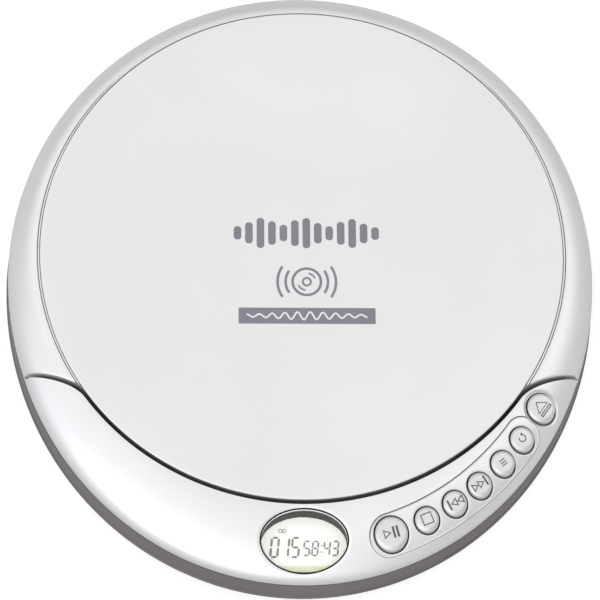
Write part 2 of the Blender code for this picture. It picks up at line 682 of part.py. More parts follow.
def spring(name, start, end, radius, wire, turns, paint, per_turn=8, sides=3):
    """Coil of round wire between two points."""
    start, end = Vector(start), Vector(end)
    turn = Vector((0, 0, 1)).rotation_difference((end - start).normalized())
    length = (end - start).length
    steps = turns * per_turn
    points = []
    for i in range(steps + 1):
        spin = 2 * math.pi * i / per_turn
        outward = Vector((math.cos(spin), math.sin(spin), 0))
        middle = outward * radius + Vector((0, 0, wire + (length - 2 * wire) * i / steps))
        for k in range(sides):
            bend = 2 * math.pi * k / sides
            offset = outward * math.cos(bend) * wire + Vector((0, 0, 1)) * math.sin(bend) * wire
            points.append(start + turn @ (middle + offset))
    faces = [tuple(range(sides)), tuple(steps * sides + k for k in range(sides))]
    for i in range(steps):
        for k in range(sides):
            nxt = (k + 1) % sides
            faces.append((i * sides + k, i * sides + nxt, (i + 1) * sides + nxt, (i + 1) * sides + k))
    return solid(name, points, faces, paint)


# Controls and sockets on the sides.
headphone_jack = rod("headphone_jack", (62.0, -4, 11.2), (69.6, -4, 11.2), 2.9, chip_black, count=20)
jack_body = block("jack_body", (54.0, -8.0, 7.6), (63.0, 0.0, 14.6), cutter=True)
add(headphone_jack, jack_body)
jack_bore = rod("jack_bore", (56.0, -4, 11.2), (75, -4, 11.2), 1.8, count=16, cutter=True)
cut(headphone_jack, jack_bore)

dc_jack = rod("dc_jack", (-61.0, 22, 11.0), (-66.9, 22, 11.0), 2.9, chip_black, count=20)
dc_body = block("dc_body", (-62.0, 18.0, 7.4), (-53.0, 26.0, 14.6), cutter=True)
add(dc_jack, dc_body)
dc_bore = rod("dc_bore", (-75, 22, 11.0), (-55, 22, 11.0), 1.9, count=16, cutter=True)
cut(dc_jack, dc_bore)

volume_wheel = lathe(
    "volume_wheel",
    [(1.6, 12.2), (7.6, 12.2), (8.0, 11.9), (8.0, 10.1), (7.6, 9.8), (1.6, 9.8)],
    chip_black,
    (62.0, 14.5),
    24,
)
smooth(volume_wheel)
move_origin(volume_wheel, (62.0, 14.5, 11.0))

hold_switch = block("hold_switch", (-70.1, -1.2, 10.0), (-66.2, 2.2, 12.0), chip_black)
hold_body = block("hold_switch_body", (-66.6, -2.0, 9.0), (-64.4, 3.0, 13.0), cutter=True)
add(hold_switch, hold_body)
move_origin(hold_switch, (-66.6, 0.5, 11.0))

# Circuit board and its parts.
board_plan = [(-58, -18), (-50, -40), (-34, -56), (0, -62), (34, -56), (50, -40), (58, -18)]
board_plan += [(58, 8), (50, 24), (-50, 24), (-58, 8)]
main_board = prism("main_board", board_plan, 4.2, 5.2, board_green)
for i, (x, y) in enumerate(SCREWS[:2]):
    cut(main_board, rod(f"board_hole_{i}", (x, y, 0), (x, y, 9), 3.3, count=16, cutter=True))
block("main_chip", (-45, -22, 5.4), (-31, -8, 7.2), chip_black)
block("memory_chip", (-44, 0, 5.4), (-34, 16, 6.8), chip_black)
block("driver_chip", (32, -18, 5.4), (42, -6, 7.0), chip_black)
for label, x, y in (("capacitor_a", 46, 4), ("capacitor_b", 38, 12)):
    can = lathe(label, [(0, 5.4), (3.0, 5.4), (3.0, 11.6), (2.7, 12.0), (0, 12.0)], steel, (x, y), 12)
    smooth(can)
lid_switch = block("lid_switch", (37.0, -38.0, 9.0), (41.0, -34.0, 16.6), chip_black)

# Batteries and their contacts.
for label, y, sign in (("battery_front", CELL_Y[0], 1), ("battery_rear", CELL_Y[1], -1)):
    half = CELL_LENGTH / 2
    cell = rod(label, (-half, y, CELL_Z), (half - 1.0, y, CELL_Z), CELL_RADIUS, cell_wrap, 16)
    if sign < 0:
        cell.data.transform(Matrix.Diagonal((-1, 1, 1, 1)))
        cell.data.flip_normals()
    tip = rod(label + "_tip", (sign * (half - 3), y, CELL_Z), (sign * half, y, CELL_Z), 2.6, cutter=True)
    add(cell, tip)
    smooth(cell)
    spring(
        label.replace("battery", "contact_spring"),
        (-sign * (half + 4.3), y, CELL_Z),
        (-sign * (half + 0.3), y, CELL_Z),
        3.0,
        0.35,
        3,
        steel,
    )
    plate_x = sorted((sign * (half + 0.4), sign * (half + 1.0)))
    block(
        label.replace("battery", "contact_plate"),
        (plate_x[0], y - 4.5, CELL_Z - 4.5),
        (plate_x[1], y + 4.5, CELL_Z + 4.5),
        brass,
    )
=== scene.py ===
import math

import bmesh
import bpy
import numpy as np
from mathutils import Matrix, Vector


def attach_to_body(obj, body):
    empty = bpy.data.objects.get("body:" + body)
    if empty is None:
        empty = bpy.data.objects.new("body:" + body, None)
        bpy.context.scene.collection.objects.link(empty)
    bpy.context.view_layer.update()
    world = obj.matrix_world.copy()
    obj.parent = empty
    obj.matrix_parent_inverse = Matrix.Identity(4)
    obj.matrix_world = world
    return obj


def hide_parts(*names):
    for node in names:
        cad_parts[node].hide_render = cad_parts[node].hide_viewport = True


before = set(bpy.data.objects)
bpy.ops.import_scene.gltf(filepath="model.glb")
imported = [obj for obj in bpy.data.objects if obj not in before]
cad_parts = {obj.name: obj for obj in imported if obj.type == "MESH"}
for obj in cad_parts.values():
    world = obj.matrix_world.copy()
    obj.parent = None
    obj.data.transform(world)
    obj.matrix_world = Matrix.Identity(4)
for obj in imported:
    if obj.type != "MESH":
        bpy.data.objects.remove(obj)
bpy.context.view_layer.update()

MM = 0.001
# Distances in metres: points this near are joined, and edges this short are dissolved.
WELD = 2e-6
TOOL_WELD = 1e-6
WINDOW_WELD = 3e-7
THIN = 1e-7

# Plan outline and levels, in millimetres, as the CAD has them.
HALF_WIDTH = 69.9
FRONT_DEPTH = 76.9
BACK_DEPTH = 71.9
OUTLINE_Y = 2.5
DISC_Y = 5.1
SPLIT_Z = 17.6
FRAME_TOP_Z = 17.3
FRAME_LOW_Z = 15.6
BAND_TOP_Z = 15.3
BAND_LOW_Z = 6.9
COVER_TOP_Z = 6.6
COVER_LOW_Z = 1.0
DECK_TOP_Z = 18.0
WALL_LOW_Z = 18.3
PANEL_TOP_Z = 25.2
RING_TOP_Z = 26.1
PLATE_TOP_Z = 26.4
PLATE_RADIUS = 62.0
GROOVE_RADIUS = 62.7
SKIRT_RADIUS = 61.7
RECESS_Z = 25.3
LID_WALL = 1.4
PANEL_GAP = 1.0
PANEL_WALL = 1.3
SHOULDER_POWER = 1.75
SWOOP_START = 53.8
SWOOP_END = 65.8
HINGE_Y = 73.0
HINGE_Z = 15.6
LCD_CENTRE = (0.0, -65.8)
LCD_HALF = (10.3, 7.2)
BUTTONS = (
    ("button_play", -73.9, 72.2, 3.9, 25.0),
    ("button_stop", -66.8, 71.8, 2.9, 24.8),
    ("button_previous", -60.7, 71.2, 2.9, 24.9),
    ("button_next", -54.8, 70.6, 2.9, 25.0),
    ("button_list", -48.6, 69.9, 2.9, 25.1),
    ("button_mode", -42.5, 69.0, 2.9, 25.25),
    ("button_eject", -35.0, 67.9, 3.45, 25.5),
)
BUTTON_GAP = 0.29
BUTTON_LEAN = 0.22
CATCH_ANGLE = -37.0
CATCH_RADIUS = 60.95
# Groove beside the plate: its bead's top, its slots' floor and the angles over which they merge.
BEAD_Z = 26.02
SLOT_Z = 25.2
JOIN_START = 112.0
JOIN_SPAN = 26.0
SHOULDER_STEPS = 26
ROOF_RADIUS = 60.3
ROOF_Z = 24.1
TRAY_DEPTH = 0.22
LCD_DISH = 0.22
FRAME_WIDTH = 2.3
PANEL_SAMPLES = 84
# Only the part of a button above this level leans.
LEAN_ABOVE_Z = 19.0
# Level above everything, where the cutters for open holes end.
CLEAR_Z = 30.0
GLYPH_PEN = 0.24
PRINT_X = 1.0
LEVELS_WIDTH = 35.4
WAVE_HALF = 14.2
GLASS_Z = 18.6
FIGURE_Z = (GLASS_Z - 0.01, GLASS_Z + 0.03)
FIGURE_SLANT = 0.10
SCREWS = ((-52, -16), (52, -16), (-50, 30), (50, 30))
FEET = ((-40, -44), (40, -44), (-44, 40), (44, 40))


# ---------------------------------------------------------------- camera and light
CAMERA_AZIMUTH = math.radians(-5.475)
CAMERA_ELEVATION = math.radians(68.667)
CAMERA_ROLL = math.radians(5.371)
CAMERA_DISTANCE = 0.7
CAMERA_TARGET = Vector((-0.142, -2.812, 13.0)) * MM
CAMERA_LENS = 174.85


def place_camera():
    level = math.cos(CAMERA_ELEVATION)
    back = Vector(
        (
            math.sin(CAMERA_AZIMUTH) * level,
            -math.cos(CAMERA_AZIMUTH) * level,
            math.sin(CAMERA_ELEVATION),
        )
    )
    right = Vector((math.cos(CAMERA_AZIMUTH), math.sin(CAMERA_AZIMUTH), 0))
    up = back.cross(right)
    turned = math.cos(CAMERA_ROLL) * right + math.sin(CAMERA_ROLL) * up
    upward = -math.sin(CAMERA_ROLL) * right + math.cos(CAMERA_ROLL) * up
    lens = bpy.data.cameras.new("camera")
    lens.lens = CAMERA_LENS
    lens.sensor_width = 36.0
    lens.clip_start = 0.01
    camera = bpy.data.objects.new("camera", lens)
    bpy.context.scene.collection.objects.link(camera)
    turn = Matrix((turned, upward, back)).transposed()
    camera.matrix_world = Matrix.Translation(CAMERA_TARGET + back * CAMERA_DISTANCE) @ turn.to_4x4()
    bpy.context.scene.camera = camera


# Soft lights, each given by its azimuth from the front towards the left, its elevation,
# its sharpness, its strength and its tint.
FRONT_TINT = (0.97, 1.0, 1.1)
TOP_TINT = (0.94, 1.0, 1.03)
SKY = (
    (38, 14, 4, 1.80, FRONT_TINT),  # wide key, low at the front left
    (0, 10, 12, 0.55, FRONT_TINT),  # front
    (90, 10, 12, 0.50, FRONT_TINT),  # left
    (330, 20, 6, 0.15, FRONT_TINT),  # front right
    (255, 25, 5, 0.40, TOP_TINT),  # right, towards the back
    (210, 15, 8, 0.20, TOP_TINT),  # back
    (135, 50, 8, 1.0, TOP_TINT),  # high, back left
    (250, 52, 14, 1.0, TOP_TINT),  # high, back right
    (20, 68, 6, 0.65, TOP_TINT),  # overhead, front
    (300, 70, 6, 0.20, TOP_TINT),  # overhead, right
)
SKY_BASE = (0.44, 0.40, 0.37)
FLOOR_GLOW = 0.64
FLOOR_THROWS = 0.12


def sky_axis(azimuth, elevation):
    a, e = math.radians(azimuth), math.radians(elevation)
    return (-math.sin(a) * math.cos(e), -math.cos(a) * math.cos(e), math.sin(e))


def maths(tree, kind, operation, *values):
    """Maths node whose inputs, in order, are other sockets or constants."""
    made = tree.nodes.new(kind)
    made.operation = operation
    for socket, value in zip(made.inputs, values):
        if isinstance(value, bpy.types.NodeSocket):
            tree.links.new(value, socket)
        else:
            socket.default_value = value
    return made


def studio():
    scene = bpy.context.scene
    scene.view_settings.view_transform = "Standard"
    world = bpy.data.worlds.new("studio")
    scene.world = world
    world.use_nodes = True
    tree = world.node_tree
    where = tree.nodes.new("ShaderNodeTexCoord").outputs["Generated"]
    total = SKY_BASE
    for azimuth, elevation, sharpness, strength, tint in SKY:
        facing = maths(tree, "ShaderNodeVectorMath", "DOT_PRODUCT", where, sky_axis(azimuth, elevation))
        front = maths(tree, "ShaderNodeMath", "MAXIMUM", facing.outputs["Value"], 0.0)
        lobe = maths(tree, "ShaderNodeMath", "POWER", front.outputs[0], sharpness)
        colour = [strength * channel for channel in tint]
        light = maths(tree, "ShaderNodeVectorMath", "MULTIPLY", colour, lobe.outputs[0])
        total = maths(tree, "ShaderNodeVectorMath", "ADD", light.outputs[0], total).outputs[0]
    # The camera sees plain white beyond the floor card.
    camera_ray = tree.nodes.new("ShaderNodeLightPath").outputs["Is Camera Ray"]
    seen = maths(tree, "ShaderNodeVectorMath", "ADD", total, camera_ray)
    tree.links.new(seen.outputs[0], tree.nodes["Background"].inputs["Color"])


def floor():
    size = 3.0
    mesh = bpy.data.meshes.new("floor")
    corners = [(-size, -size, 0), (size, -size, 0), (size, size, 0), (-size, size, 0)]
    mesh.from_pydata(corners, [], [(0, 1, 2, 3)])
    made = bpy.data.objects.new("floor", mesh)
    bpy.context.scene.collection.objects.link(made)
    paint = finish("floor_card", (0.48, 0.48, 0.48), (0.52, 0.52, 0.52), 0.9, patch=3.0, grain=60.0)
    tree = paint.node_tree
    shader = tree.nodes["Principled BSDF"]
    shader.inputs["Emission Color"].default_value = (1, 1, 1, 1)
    # The card is lit from behind for the picture and throws back only its own grey.
    ray = tree.nodes.new("ShaderNodeLightPath")
    tree.links.new(between(tree, ray.outputs["Is Camera Ray"], FLOOR_THROWS, FLOOR_GLOW, 0.0, 1.0),
                   shader.inputs["Emission Strength"])
    mesh.materials.append(paint)


# ---------------------------------------------------------------- materials
def noise(tree, where, scale, detail=2.0, rough=0.5):
    made = tree.nodes.new("ShaderNodeTexNoise")
    made.inputs["Scale"].default_value = scale
    made.inputs["Detail"].default_value = detail
    made.inputs["Roughness"].default_value = rough
    tree.links.new(where, made.inputs["Vector"])
    return made.outputs["Fac"]


def between(tree, value, low, high, start=0.3, end=0.7):
    made = tree.nodes.new("ShaderNodeMapRange")
    made.inputs["From Min"].default_value = start
    made.inputs["From Max"].default_value = end
    made.inputs["To Min"].default_value = low
    made.inputs["To Max"].default_value = high
    tree.links.new(value, made.inputs["Value"])
    return made.outputs["Result"]


def blend_colour(tree, share, first, second):
    made = tree.nodes.new("ShaderNodeMix")
    made.data_type = "RGBA"
    tree.links.new(share, made.inputs["Factor"])
    for socket, colour in ((made.inputs["A"], first), (made.inputs["B"], second)):
        if isinstance(colour, tuple):
            socket.default_value = (*colour, 1.0)
        else:
            tree.links.new(colour, socket)
    return made.outputs["Result"]


def finish(name, deep, pale, rough, metallic=0.0, patch=35.0, grain=2600.0, bump=0.0, spread=0.06,
           specular=0.5, coat=0.0, fleck=0.0, brushed=None):
    """Moulded or painted surface: broad tone drift, fine grain in tone, roughness and height."""
    made = bpy.data.materials.new(name)
    made.use_nodes = True
    tree = made.node_tree
    shader = tree.nodes["Principled BSDF"]
    shader.inputs["Metallic"].default_value = metallic
    shader.inputs["Specular IOR Level"].default_value = specular
    shader.inputs["Coat Weight"].default_value = coat
    shader.inputs["Coat Roughness"].default_value = 0.25
    where = tree.nodes.new("ShaderNodeTexCoord").outputs["Object"]
    if brushed:
        stretch = tree.nodes.new("ShaderNodeMapping")
        stretch.inputs["Scale"].default_value = brushed
        tree.links.new(where, stretch.inputs["Vector"])
        grain_where = stretch.outputs["Vector"]
    else:
        grain_where = where
    broad = between(tree, noise(tree, where, patch, 3.0), 0.0, 1.0)
    fine = noise(tree, grain_where, grain, 3.0, 0.6)
    tone = blend_colour(tree, broad, deep, pale)
    speck = between(tree, fine, 0.0, 0.16 + fleck)
    tone = blend_colour(tree, speck, tone, pale)
    tree.links.new(tone, shader.inputs["Base Color"])
    tree.links.new(between(tree, fine, rough + spread, rough - spread), shader.inputs["Roughness"])
    if bump:
        relief = tree.nodes.new("ShaderNodeBump")
        relief.inputs["Strength"].default_value = 1.0
        relief.inputs["Distance"].default_value = bump * MM
        tree.links.new(fine, relief.inputs["Height"])
        tree.links.new(relief.outputs["Normal"], shader.inputs["Normal"])
    return made


def clear_finish(name, tint):
    """Clear moulded window: mostly see-through, with a gloss that grows towards grazing."""
    made = finish(name, tint, tint, 0.06, spread=0.02, grain=300.0, metallic=0.9)
    tree = made.node_tree
    gloss = tree.nodes.new("ShaderNodeFresnel")
    gloss.inputs["IOR"].default_value = 1.5
    alpha = between(tree, gloss.outputs[0], 0.008, 0.9, 0.03, 0.35)
    tree.links.new(alpha, tree.nodes["Principled BSDF"].inputs["Alpha"])
    return made


PAINT = {}


def mix_paints():
    PAINT["silver"] = finish(
        "silver_paint", (0.70, 0.695, 0.70), (0.76, 0.757, 0.755), 0.42, 0.75,
        patch=22.0, grain=5200.0, bump=0.0025, fleck=0.12, coat=0.15, spread=0.05)
    PAINT["plate"] = finish(
        "plate_paint", (0.685, 0.685, 0.687), (0.725, 0.725, 0.725), 0.42, 0.2,
        patch=18.0, grain=2600.0, bump=0.003, fleck=0.1)
    PAINT["band"] = finish(
        "taupe_moulding", (0.105, 0.094, 0.090), (0.130, 0.117, 0.112), 0.45, 0.15,
        patch=45.0, grain=4200.0, bump=0.006, fleck=0.05)
    PAINT["under"] = finish(
        "taupe_texture", (0.105, 0.097, 0.094), (0.135, 0.125, 0.12), 0.62,
        patch=45.0, grain=2400.0, bump=0.02)
    PAINT["deck"] = finish(
        "deck_texture", (0.035, 0.035, 0.038), (0.055, 0.055, 0.058), 0.55,
        patch=40.0, grain=2200.0, bump=0.02)
    PAINT["liner"] = finish(
        "liner_moulding", (0.56, 0.56, 0.57), (0.63, 0.63, 0.635), 0.5,
        patch=30.0, grain=2400.0, bump=0.008)
    PAINT["button"] = finish(
        "button_silver", (0.60, 0.60, 0.595), (0.66, 0.66, 0.653), 0.42, 0.6,
        patch=120.0, grain=5200.0, bump=0.002, fleck=0.1, coat=0.2)
    PAINT["ink"] = finish(
        "print_ink", (0.175, 0.175, 0.205), (0.205, 0.205, 0.235), 0.5,
        patch=90.0, grain=3000.0, bump=0.002)
    PAINT["glyph"] = finish(
        "glyph_ink", (0.06, 0.06, 0.06), (0.09, 0.09, 0.09), 0.5, patch=300.0, grain=6000.0)
    PAINT["window"] = clear_finish("window_clear", (0.95, 0.97, 0.96))
    PAINT["black"] = finish(
        "black_moulding", (0.018, 0.018, 0.019), (0.032, 0.032, 0.033), 0.42,
        patch=90.0, grain=3800.0, bump=0.006)
    # Dark paint on gap, slot and hole walls: painted shade where these narrow openings fall into shadow.
    PAINT["lining"] = finish(
        "gap_lining", (0.30, 0.281, 0.275), (0.36, 0.338, 0.331), 0.6,
        patch=90.0, grain=3800.0, bump=0.006)
    # Near-black hood paint: painted shade of the display well, with its gloss kept low.
    PAINT["hood"] = finish(
        "display_hood_painted_shade", (0.008, 0.014, 0.012), (0.018, 0.026, 0.023), 0.7,
        patch=90.0, grain=3800.0, bump=0.006, specular=0.05)
    PAINT["steel"] = finish(
        "plain_steel", (0.50, 0.50, 0.51), (0.66, 0.66, 0.67), 0.30, 1.0,
        patch=150.0, grain=900.0, bump=0.002, brushed=(1.0, 1.0, 9.0))
    PAINT["brass"] = finish(
        "plated_brass", (0.66, 0.57, 0.34), (0.80, 0.72, 0.48), 0.33, 1.0,
        patch=150.0, grain=1500.0, bump=0.002)
    PAINT["rubber"] = finish(
        "foot_rubber", (0.030, 0.030, 0.031), (0.052, 0.052, 0.053), 0.85,
        patch=120.0, grain=2600.0, bump=0.03)
    PAINT["silicone"] = finish(
        "mat_silicone", (0.30, 0.31, 0.33), (0.38, 0.39, 0.41), 0.7, patch=80.0, grain=1800.0, bump=0.01)
    PAINT["hub"] = finish(
        "hub_moulding", (0.022, 0.022, 0.025), (0.042, 0.042, 0.046), 0.38,
        patch=100.0, grain=3200.0, bump=0.004)
    PAINT["lens"] = finish(
        "coated_lens", (0.10, 0.14, 0.36), (0.30, 0.36, 0.62), 0.05, spread=0.02,
        patch=400.0, grain=900.0, coat=1.0)
    PAINT["board"] = finish(
        "board_mask", (0.015, 0.10, 0.04), (0.04, 0.19, 0.085), 0.4,
        patch=260.0, grain=900.0, bump=0.01, fleck=0.25)
    PAINT["cell"] = finish(
        "cell_sleeve", (0.09, 0.18, 0.12), (0.15, 0.27, 0.18), 0.32,
        patch=70.0, grain=2000.0, bump=0.003, coat=0.4)
    # Display face with emission: painted light that makes it glow, though it is no lamp.
    display = finish(
        "display_glass", (0.86, 0.875, 0.80), (0.90, 0.91, 0.85), 0.25,
        patch=120.0, grain=3000.0, spread=0.04)
    tree = display.node_tree
    shader = tree.nodes["Principled BSDF"]
    split = tree.nodes.new("ShaderNodeSeparateXYZ")
    tree.links.new(tree.nodes["Texture Coordinate"].outputs["Object"], split.inputs[0])
    # The light guide behind the glass shows as a yellow-green strip along the front, in both the base colour
    # and the painted glow.
    share = between(tree, split.outputs["Y"], 1.0, 0.0, -70.9 * MM, -70.3 * MM)
    face_tone = shader.inputs["Base Color"].links[0].from_socket
    for socket, plain, strip in (("Base Color", face_tone, (0.74, 0.77, 0.55)),
                                 ("Emission Color", (0.90, 0.92, 0.86), (0.62, 0.65, 0.46))):
        tree.links.new(blend_colour(tree, share, plain, strip), shader.inputs[socket])
    # Strength of the painted glow.
    shader.inputs["Emission Strength"].default_value = 0.52
    PAINT["display"] = display
    PAINT["segment"] = finish(
        "segment_film", (0.28, 0.29, 0.27), (0.36, 0.37, 0.345), 0.4, patch=300.0, grain=5000.0)


# ---------------------------------------------------------------- shape helpers
def turned(degrees):
    return np.cos(np.radians(degrees)), np.sin(np.radians(degrees))


def outline(degrees):
    """Distance from the disc centre to the plan outline."""
    across, along = turned(np.asarray(degrees, float))
    offset = OUTLINE_Y - DISC_Y
    found = []
    for depth in (BACK_DEPTH, FRONT_DEPTH):
        a = (across / HALF_WIDTH) ** 2 + (along / depth) ** 2
        b = -2 * along * offset / depth**2
        c = (offset / depth) ** 2 - 1
        found.append((-b + np.sqrt(b * b - 4 * a * c)) / (2 * a))
    return np.where(found[0] * along >= offset, found[0], found[1])


def from_front(degrees):
    return np.abs((np.asarray(degrees, float) + 270.0) % 360.0 - 180.0)


def lid_edge(degrees):
    away = from_front(degrees)
    share = np.clip((away - SWOOP_START) / (SWOOP_END - SWOOP_START), 0, 1)
    limit = outline(degrees)
    edge = SKIRT_RADIUS + (limit - SKIRT_RADIUS) * share**1.9
    return np.where(away >= SWOOP_END, limit, edge)


def crown(radius, degrees, top):
    """Height of the rounded shoulder at this distance from the disc centre."""
    limit = outline(degrees)
    share = np.clip((radius - GROOVE_RADIUS) / (limit - GROOVE_RADIUS), 0, 1)
    return SPLIT_Z + (top - SPLIT_Z) * (1 - share**SHOULDER_POWER) ** (1 / SHOULDER_POWER)


def polar(degrees, radius):
    c, s = turned(degrees)
    return radius * c, DISC_Y + radius * s


def panel_at(x, y):
    x, y = np.asarray(x, float), np.asarray(y, float)
    reach = np.hypot(x, y - DISC_Y)
    return crown(reach, np.degrees(np.arctan2(y - DISC_Y, x)), PANEL_TOP_Z)


def new_object(name, points, faces, weld):
    """One mesh in millimetres, welded and turned outwards."""
    mesh = bpy.data.meshes.new(name)
    mesh.from_pydata((np.asarray(points, float) * MM).tolist(), [], faces)
    work = bmesh.new()
    work.from_mesh(mesh)
    bmesh.ops.remove_doubles(work, verts=work.verts, dist=weld)
    bmesh.ops.dissolve_degenerate(work, edges=work.edges, dist=THIN)
    bmesh.ops.recalc_face_normals(work, faces=work.faces)
    work.to_mesh(mesh)
    work.free()
    made = bpy.data.objects.new(name, mesh)
    bpy.context.scene.collection.objects.link(made)
    return made


def piece(name, points, faces, paint, body, slot, stands_for=(), sharp=40.0, weld=WELD):
    """Painted mesh. With a body it is attached at once, and without one it is still to be carved."""
    made = new_object(name, points, faces, weld)
    made.data.materials.append(PAINT[paint])
    shade(made, sharp)
    if body:
        attach(made, body, stands_for)
    return made


def paint_gap_shade(made, chosen):
    """Gives the faces that pass the test, in millimetres, painted gap shade: dark paint standing in for the
    shade deep in the gap.
    """
    slot = len(made.data.materials)
    made.data.materials.append(PAINT["lining"])
    for face in made.data.polygons:
        x, y, z = (value / MM for value in face.center)
        if chosen(x, y, z, face.normal):
            face.material_index = slot


def shade(made, sharp=40.0):
    made.data.shade_smooth()
    made.data.set_sharp_from_angle(angle=math.radians(sharp))


def attach(made, body, stands_for=()):
    if stands_for:
        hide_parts(*stands_for)
    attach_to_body(made, body)


def cell_faces(rows, columns, wrap_rows=True, wrap_columns=True):
    faces = []
    for i in range(rows if wrap_rows else rows - 1):
        after = (i + 1) % rows
        for k in range(columns if wrap_columns else columns - 1):
            nxt = (k + 1) % columns
            faces.append((i * columns + k, i * columns + nxt, after * columns + nxt, after * columns + k))
    return faces


def swept(angles, radii, heights, centre=(0.0, DISC_Y), closed=True):
    """Points and faces of a profile carried round a full turn. radii and heights are [angle, point]."""
    c, s = turned(np.asarray(angles, float))
    x = centre[0] + radii * c[:, None]
    y = centre[1] + radii * s[:, None]
    points = np.stack([x, y, heights], axis=-1).reshape(-1, 3)
    return points, cell_faces(radii.shape[0], radii.shape[1], True, closed)


def revolve(rows, angles, closed):
    """Sweep of (radius, height) rows round the disc centre, each value one number or one for each angle."""
    radii, heights = (np.stack([np.broadcast_to(row[k], angles.shape) for row in rows], 1) for k in (0, 1))
    return swept(angles, radii, heights, closed=closed)


def ring_solid(rings, closed=True):
    """Points and faces of a solid that joins rings of (plan, level) in order."""
    points = []
    for plan, level in rings:
        points += [(x, y, z) for (x, y), z in zip(plan, np.broadcast_to(level, len(plan)))]
    return points, cell_faces(len(rings), len(rings[0][0]), closed)


def bend(first, corner, last, steps):
    """Rounded corner through three (radius, height) points, without its first point."""
    found = []
    for i in range(1, steps + 1):
        t = i / steps
        shares = ((1 - t) ** 2, 2 * t * (1 - t), t * t)
        ends = zip(first, corner, last)
        found.append(tuple(shares[0] * a + shares[1] * b + shares[2] * c for a, b, c in ends))
    return found


def eased(profile, size=0.3, steps=4, closed=False):
    """Rounds every corner of a (radius, height) profile. A third value sets that corner's own size."""
    made = []
    count = len(profile)
    for i, entry in enumerate(profile):
        here = np.array(entry[:2], float)
        reach = entry[2] if len(entry) > 2 else size
        if (not closed and i in (0, count - 1)) or reach == 0:
            made.append(tuple(here))
            continue
        before = np.array(profile[i - 1][:2], float)
        after = np.array(profile[(i + 1) % count][:2], float)
        back, ahead = before - here, after - here
        back_by = min(reach, np.linalg.norm(back) * 0.48)
        ahead_by = min(reach, np.linalg.norm(ahead) * 0.48)
        start = here + back / max(np.linalg.norm(back), 1e-9) * back_by
        end = here + ahead / max(np.linalg.norm(ahead), 1e-9) * ahead_by
        made.append(tuple(start))
        made += bend(start, here, end, steps)
    return made


def lathe(name, profile, paint, body, slot, stands_for=(), centre=(0.0, DISC_Y), count=96, size=0.3,
          sharp=40.0):
    on_axis = profile[0][0] == 0
    shape = np.array(eased(profile, size, closed=not on_axis))
    angles = np.arange(count) * 360.0 / count
    radii = np.repeat(shape[None, :, 0], count, 0)
    heights = np.repeat(shape[None, :, 1], count, 0)
    points, faces = swept(angles, radii, heights, centre, not on_axis)
    return piece(name, points, faces, paint, body, slot, stands_for, sharp)


def prism(name, plan, low, high, paint, body, slot, stands_for, ease):
    """Extruded plan with a small chamfer round its top and bottom."""
    inner = inset(plan, ease)
    points, faces = ring_solid(((inner, low), (plan, low + ease), (plan, high - ease), (inner, high)), False)
    count = len(plan)
    faces += [tuple(range(count)), tuple(range(3 * count, 4 * count))]
    return piece(name, points, faces, paint, body, slot, stands_for)


def anticlockwise(plan):
    plan = np.asarray(plan, float)
    x, y = plan[:, 0], plan[:, 1]
    return plan if np.sum(x * np.roll(y, -1) - np.roll(x, -1) * y) > 0 else plan[::-1]


def inset(plan, by):
    """Closed plan moved inwards by a distance, for a plan that runs anticlockwise."""
    before, after = np.roll(plan, 1, 0), np.roll(plan, -1, 0)
    normals = []
    for side in (plan - before, after - plan):
        side = side / np.maximum(np.linalg.norm(side, axis=1), 1e-9)[:, None]
        normals.append(np.stack([-side[:, 1], side[:, 0]], 1))
    mitre = normals[0] + normals[1]
    length = np.maximum((mitre * normals[0]).sum(1), 0.5)
    return plan + mitre / length[:, None] * by


def rounded_box(half_x, half_y, corner, steps=6):
    """Anticlockwise rounded rectangle about the origin."""
    plan = []
    for quarter, (sx, sy) in enumerate(((1, 1), (-1, 1), (-1, -1), (1, -1))):
        for i in range(steps + 1):
            a = math.radians(90 * quarter + 90 * i / steps)
            plan.append((sx * (half_x - corner) + corner * math.cos(a),
                         sy * (half_y - corner) + corner * math.sin(a)))
    return np.array(plan)


def capped(count):
    """Faces of two rings of points, the sides between them and both ends."""
    faces = [tuple(range(count)), tuple(range(count, 2 * count))]
    return faces + [(i, (i + 1) % count, count + (i + 1) % count, count + i) for i in range(count)]


def bar_shape(plan, low, high):
    return [(x, y, z) for z in (low, high) for x, y in plan], capped(len(plan))


def rectangle(left, front, right, back):
    return [(left, front), (right, front), (right, back), (left, back)]


def box(left, front, right, back, low, high):
    return bar_shape(rectangle(left, front, right, back), low, high)


def oval(centre, half_x, half_y, count):
    angles = np.arange(count) * 2 * math.pi / count
    return np.stack([centre[0] + half_x * np.cos(angles), centre[1] + half_y * np.sin(angles)], 1)


def circle(centre, radius, count):
    return oval(centre, radius, radius, count)


def lcd_oval(grown=0.0, count=96):
    """Plan of the display opening, made larger all round."""
    return oval(LCD_CENTRE, LCD_HALF[0] + grown, LCD_HALF[1] + grown, count)


def laid_rod(start, end, radius, count=32):
    """Round bar between two points, in any direction."""
    start, end = Vector(start), Vector(end)
    turn = Vector((0, 0, 1)).rotation_difference((end - start).normalized())
    points = []
    for place in (start, end):
        for i in range(count):
            a = 2 * math.pi * i / count
            points.append(tuple(place + turn @ Vector((radius * math.cos(a), radius * math.sin(a), 0))))
    return points, capped(count)


def merged(shapes):
    points, faces = [], []
    for some_points, some_faces in shapes:
        start = len(points)
        points += [tuple(p) for p in some_points]
        faces += [tuple(start + i for i in face) for face in some_faces]
    return points, faces


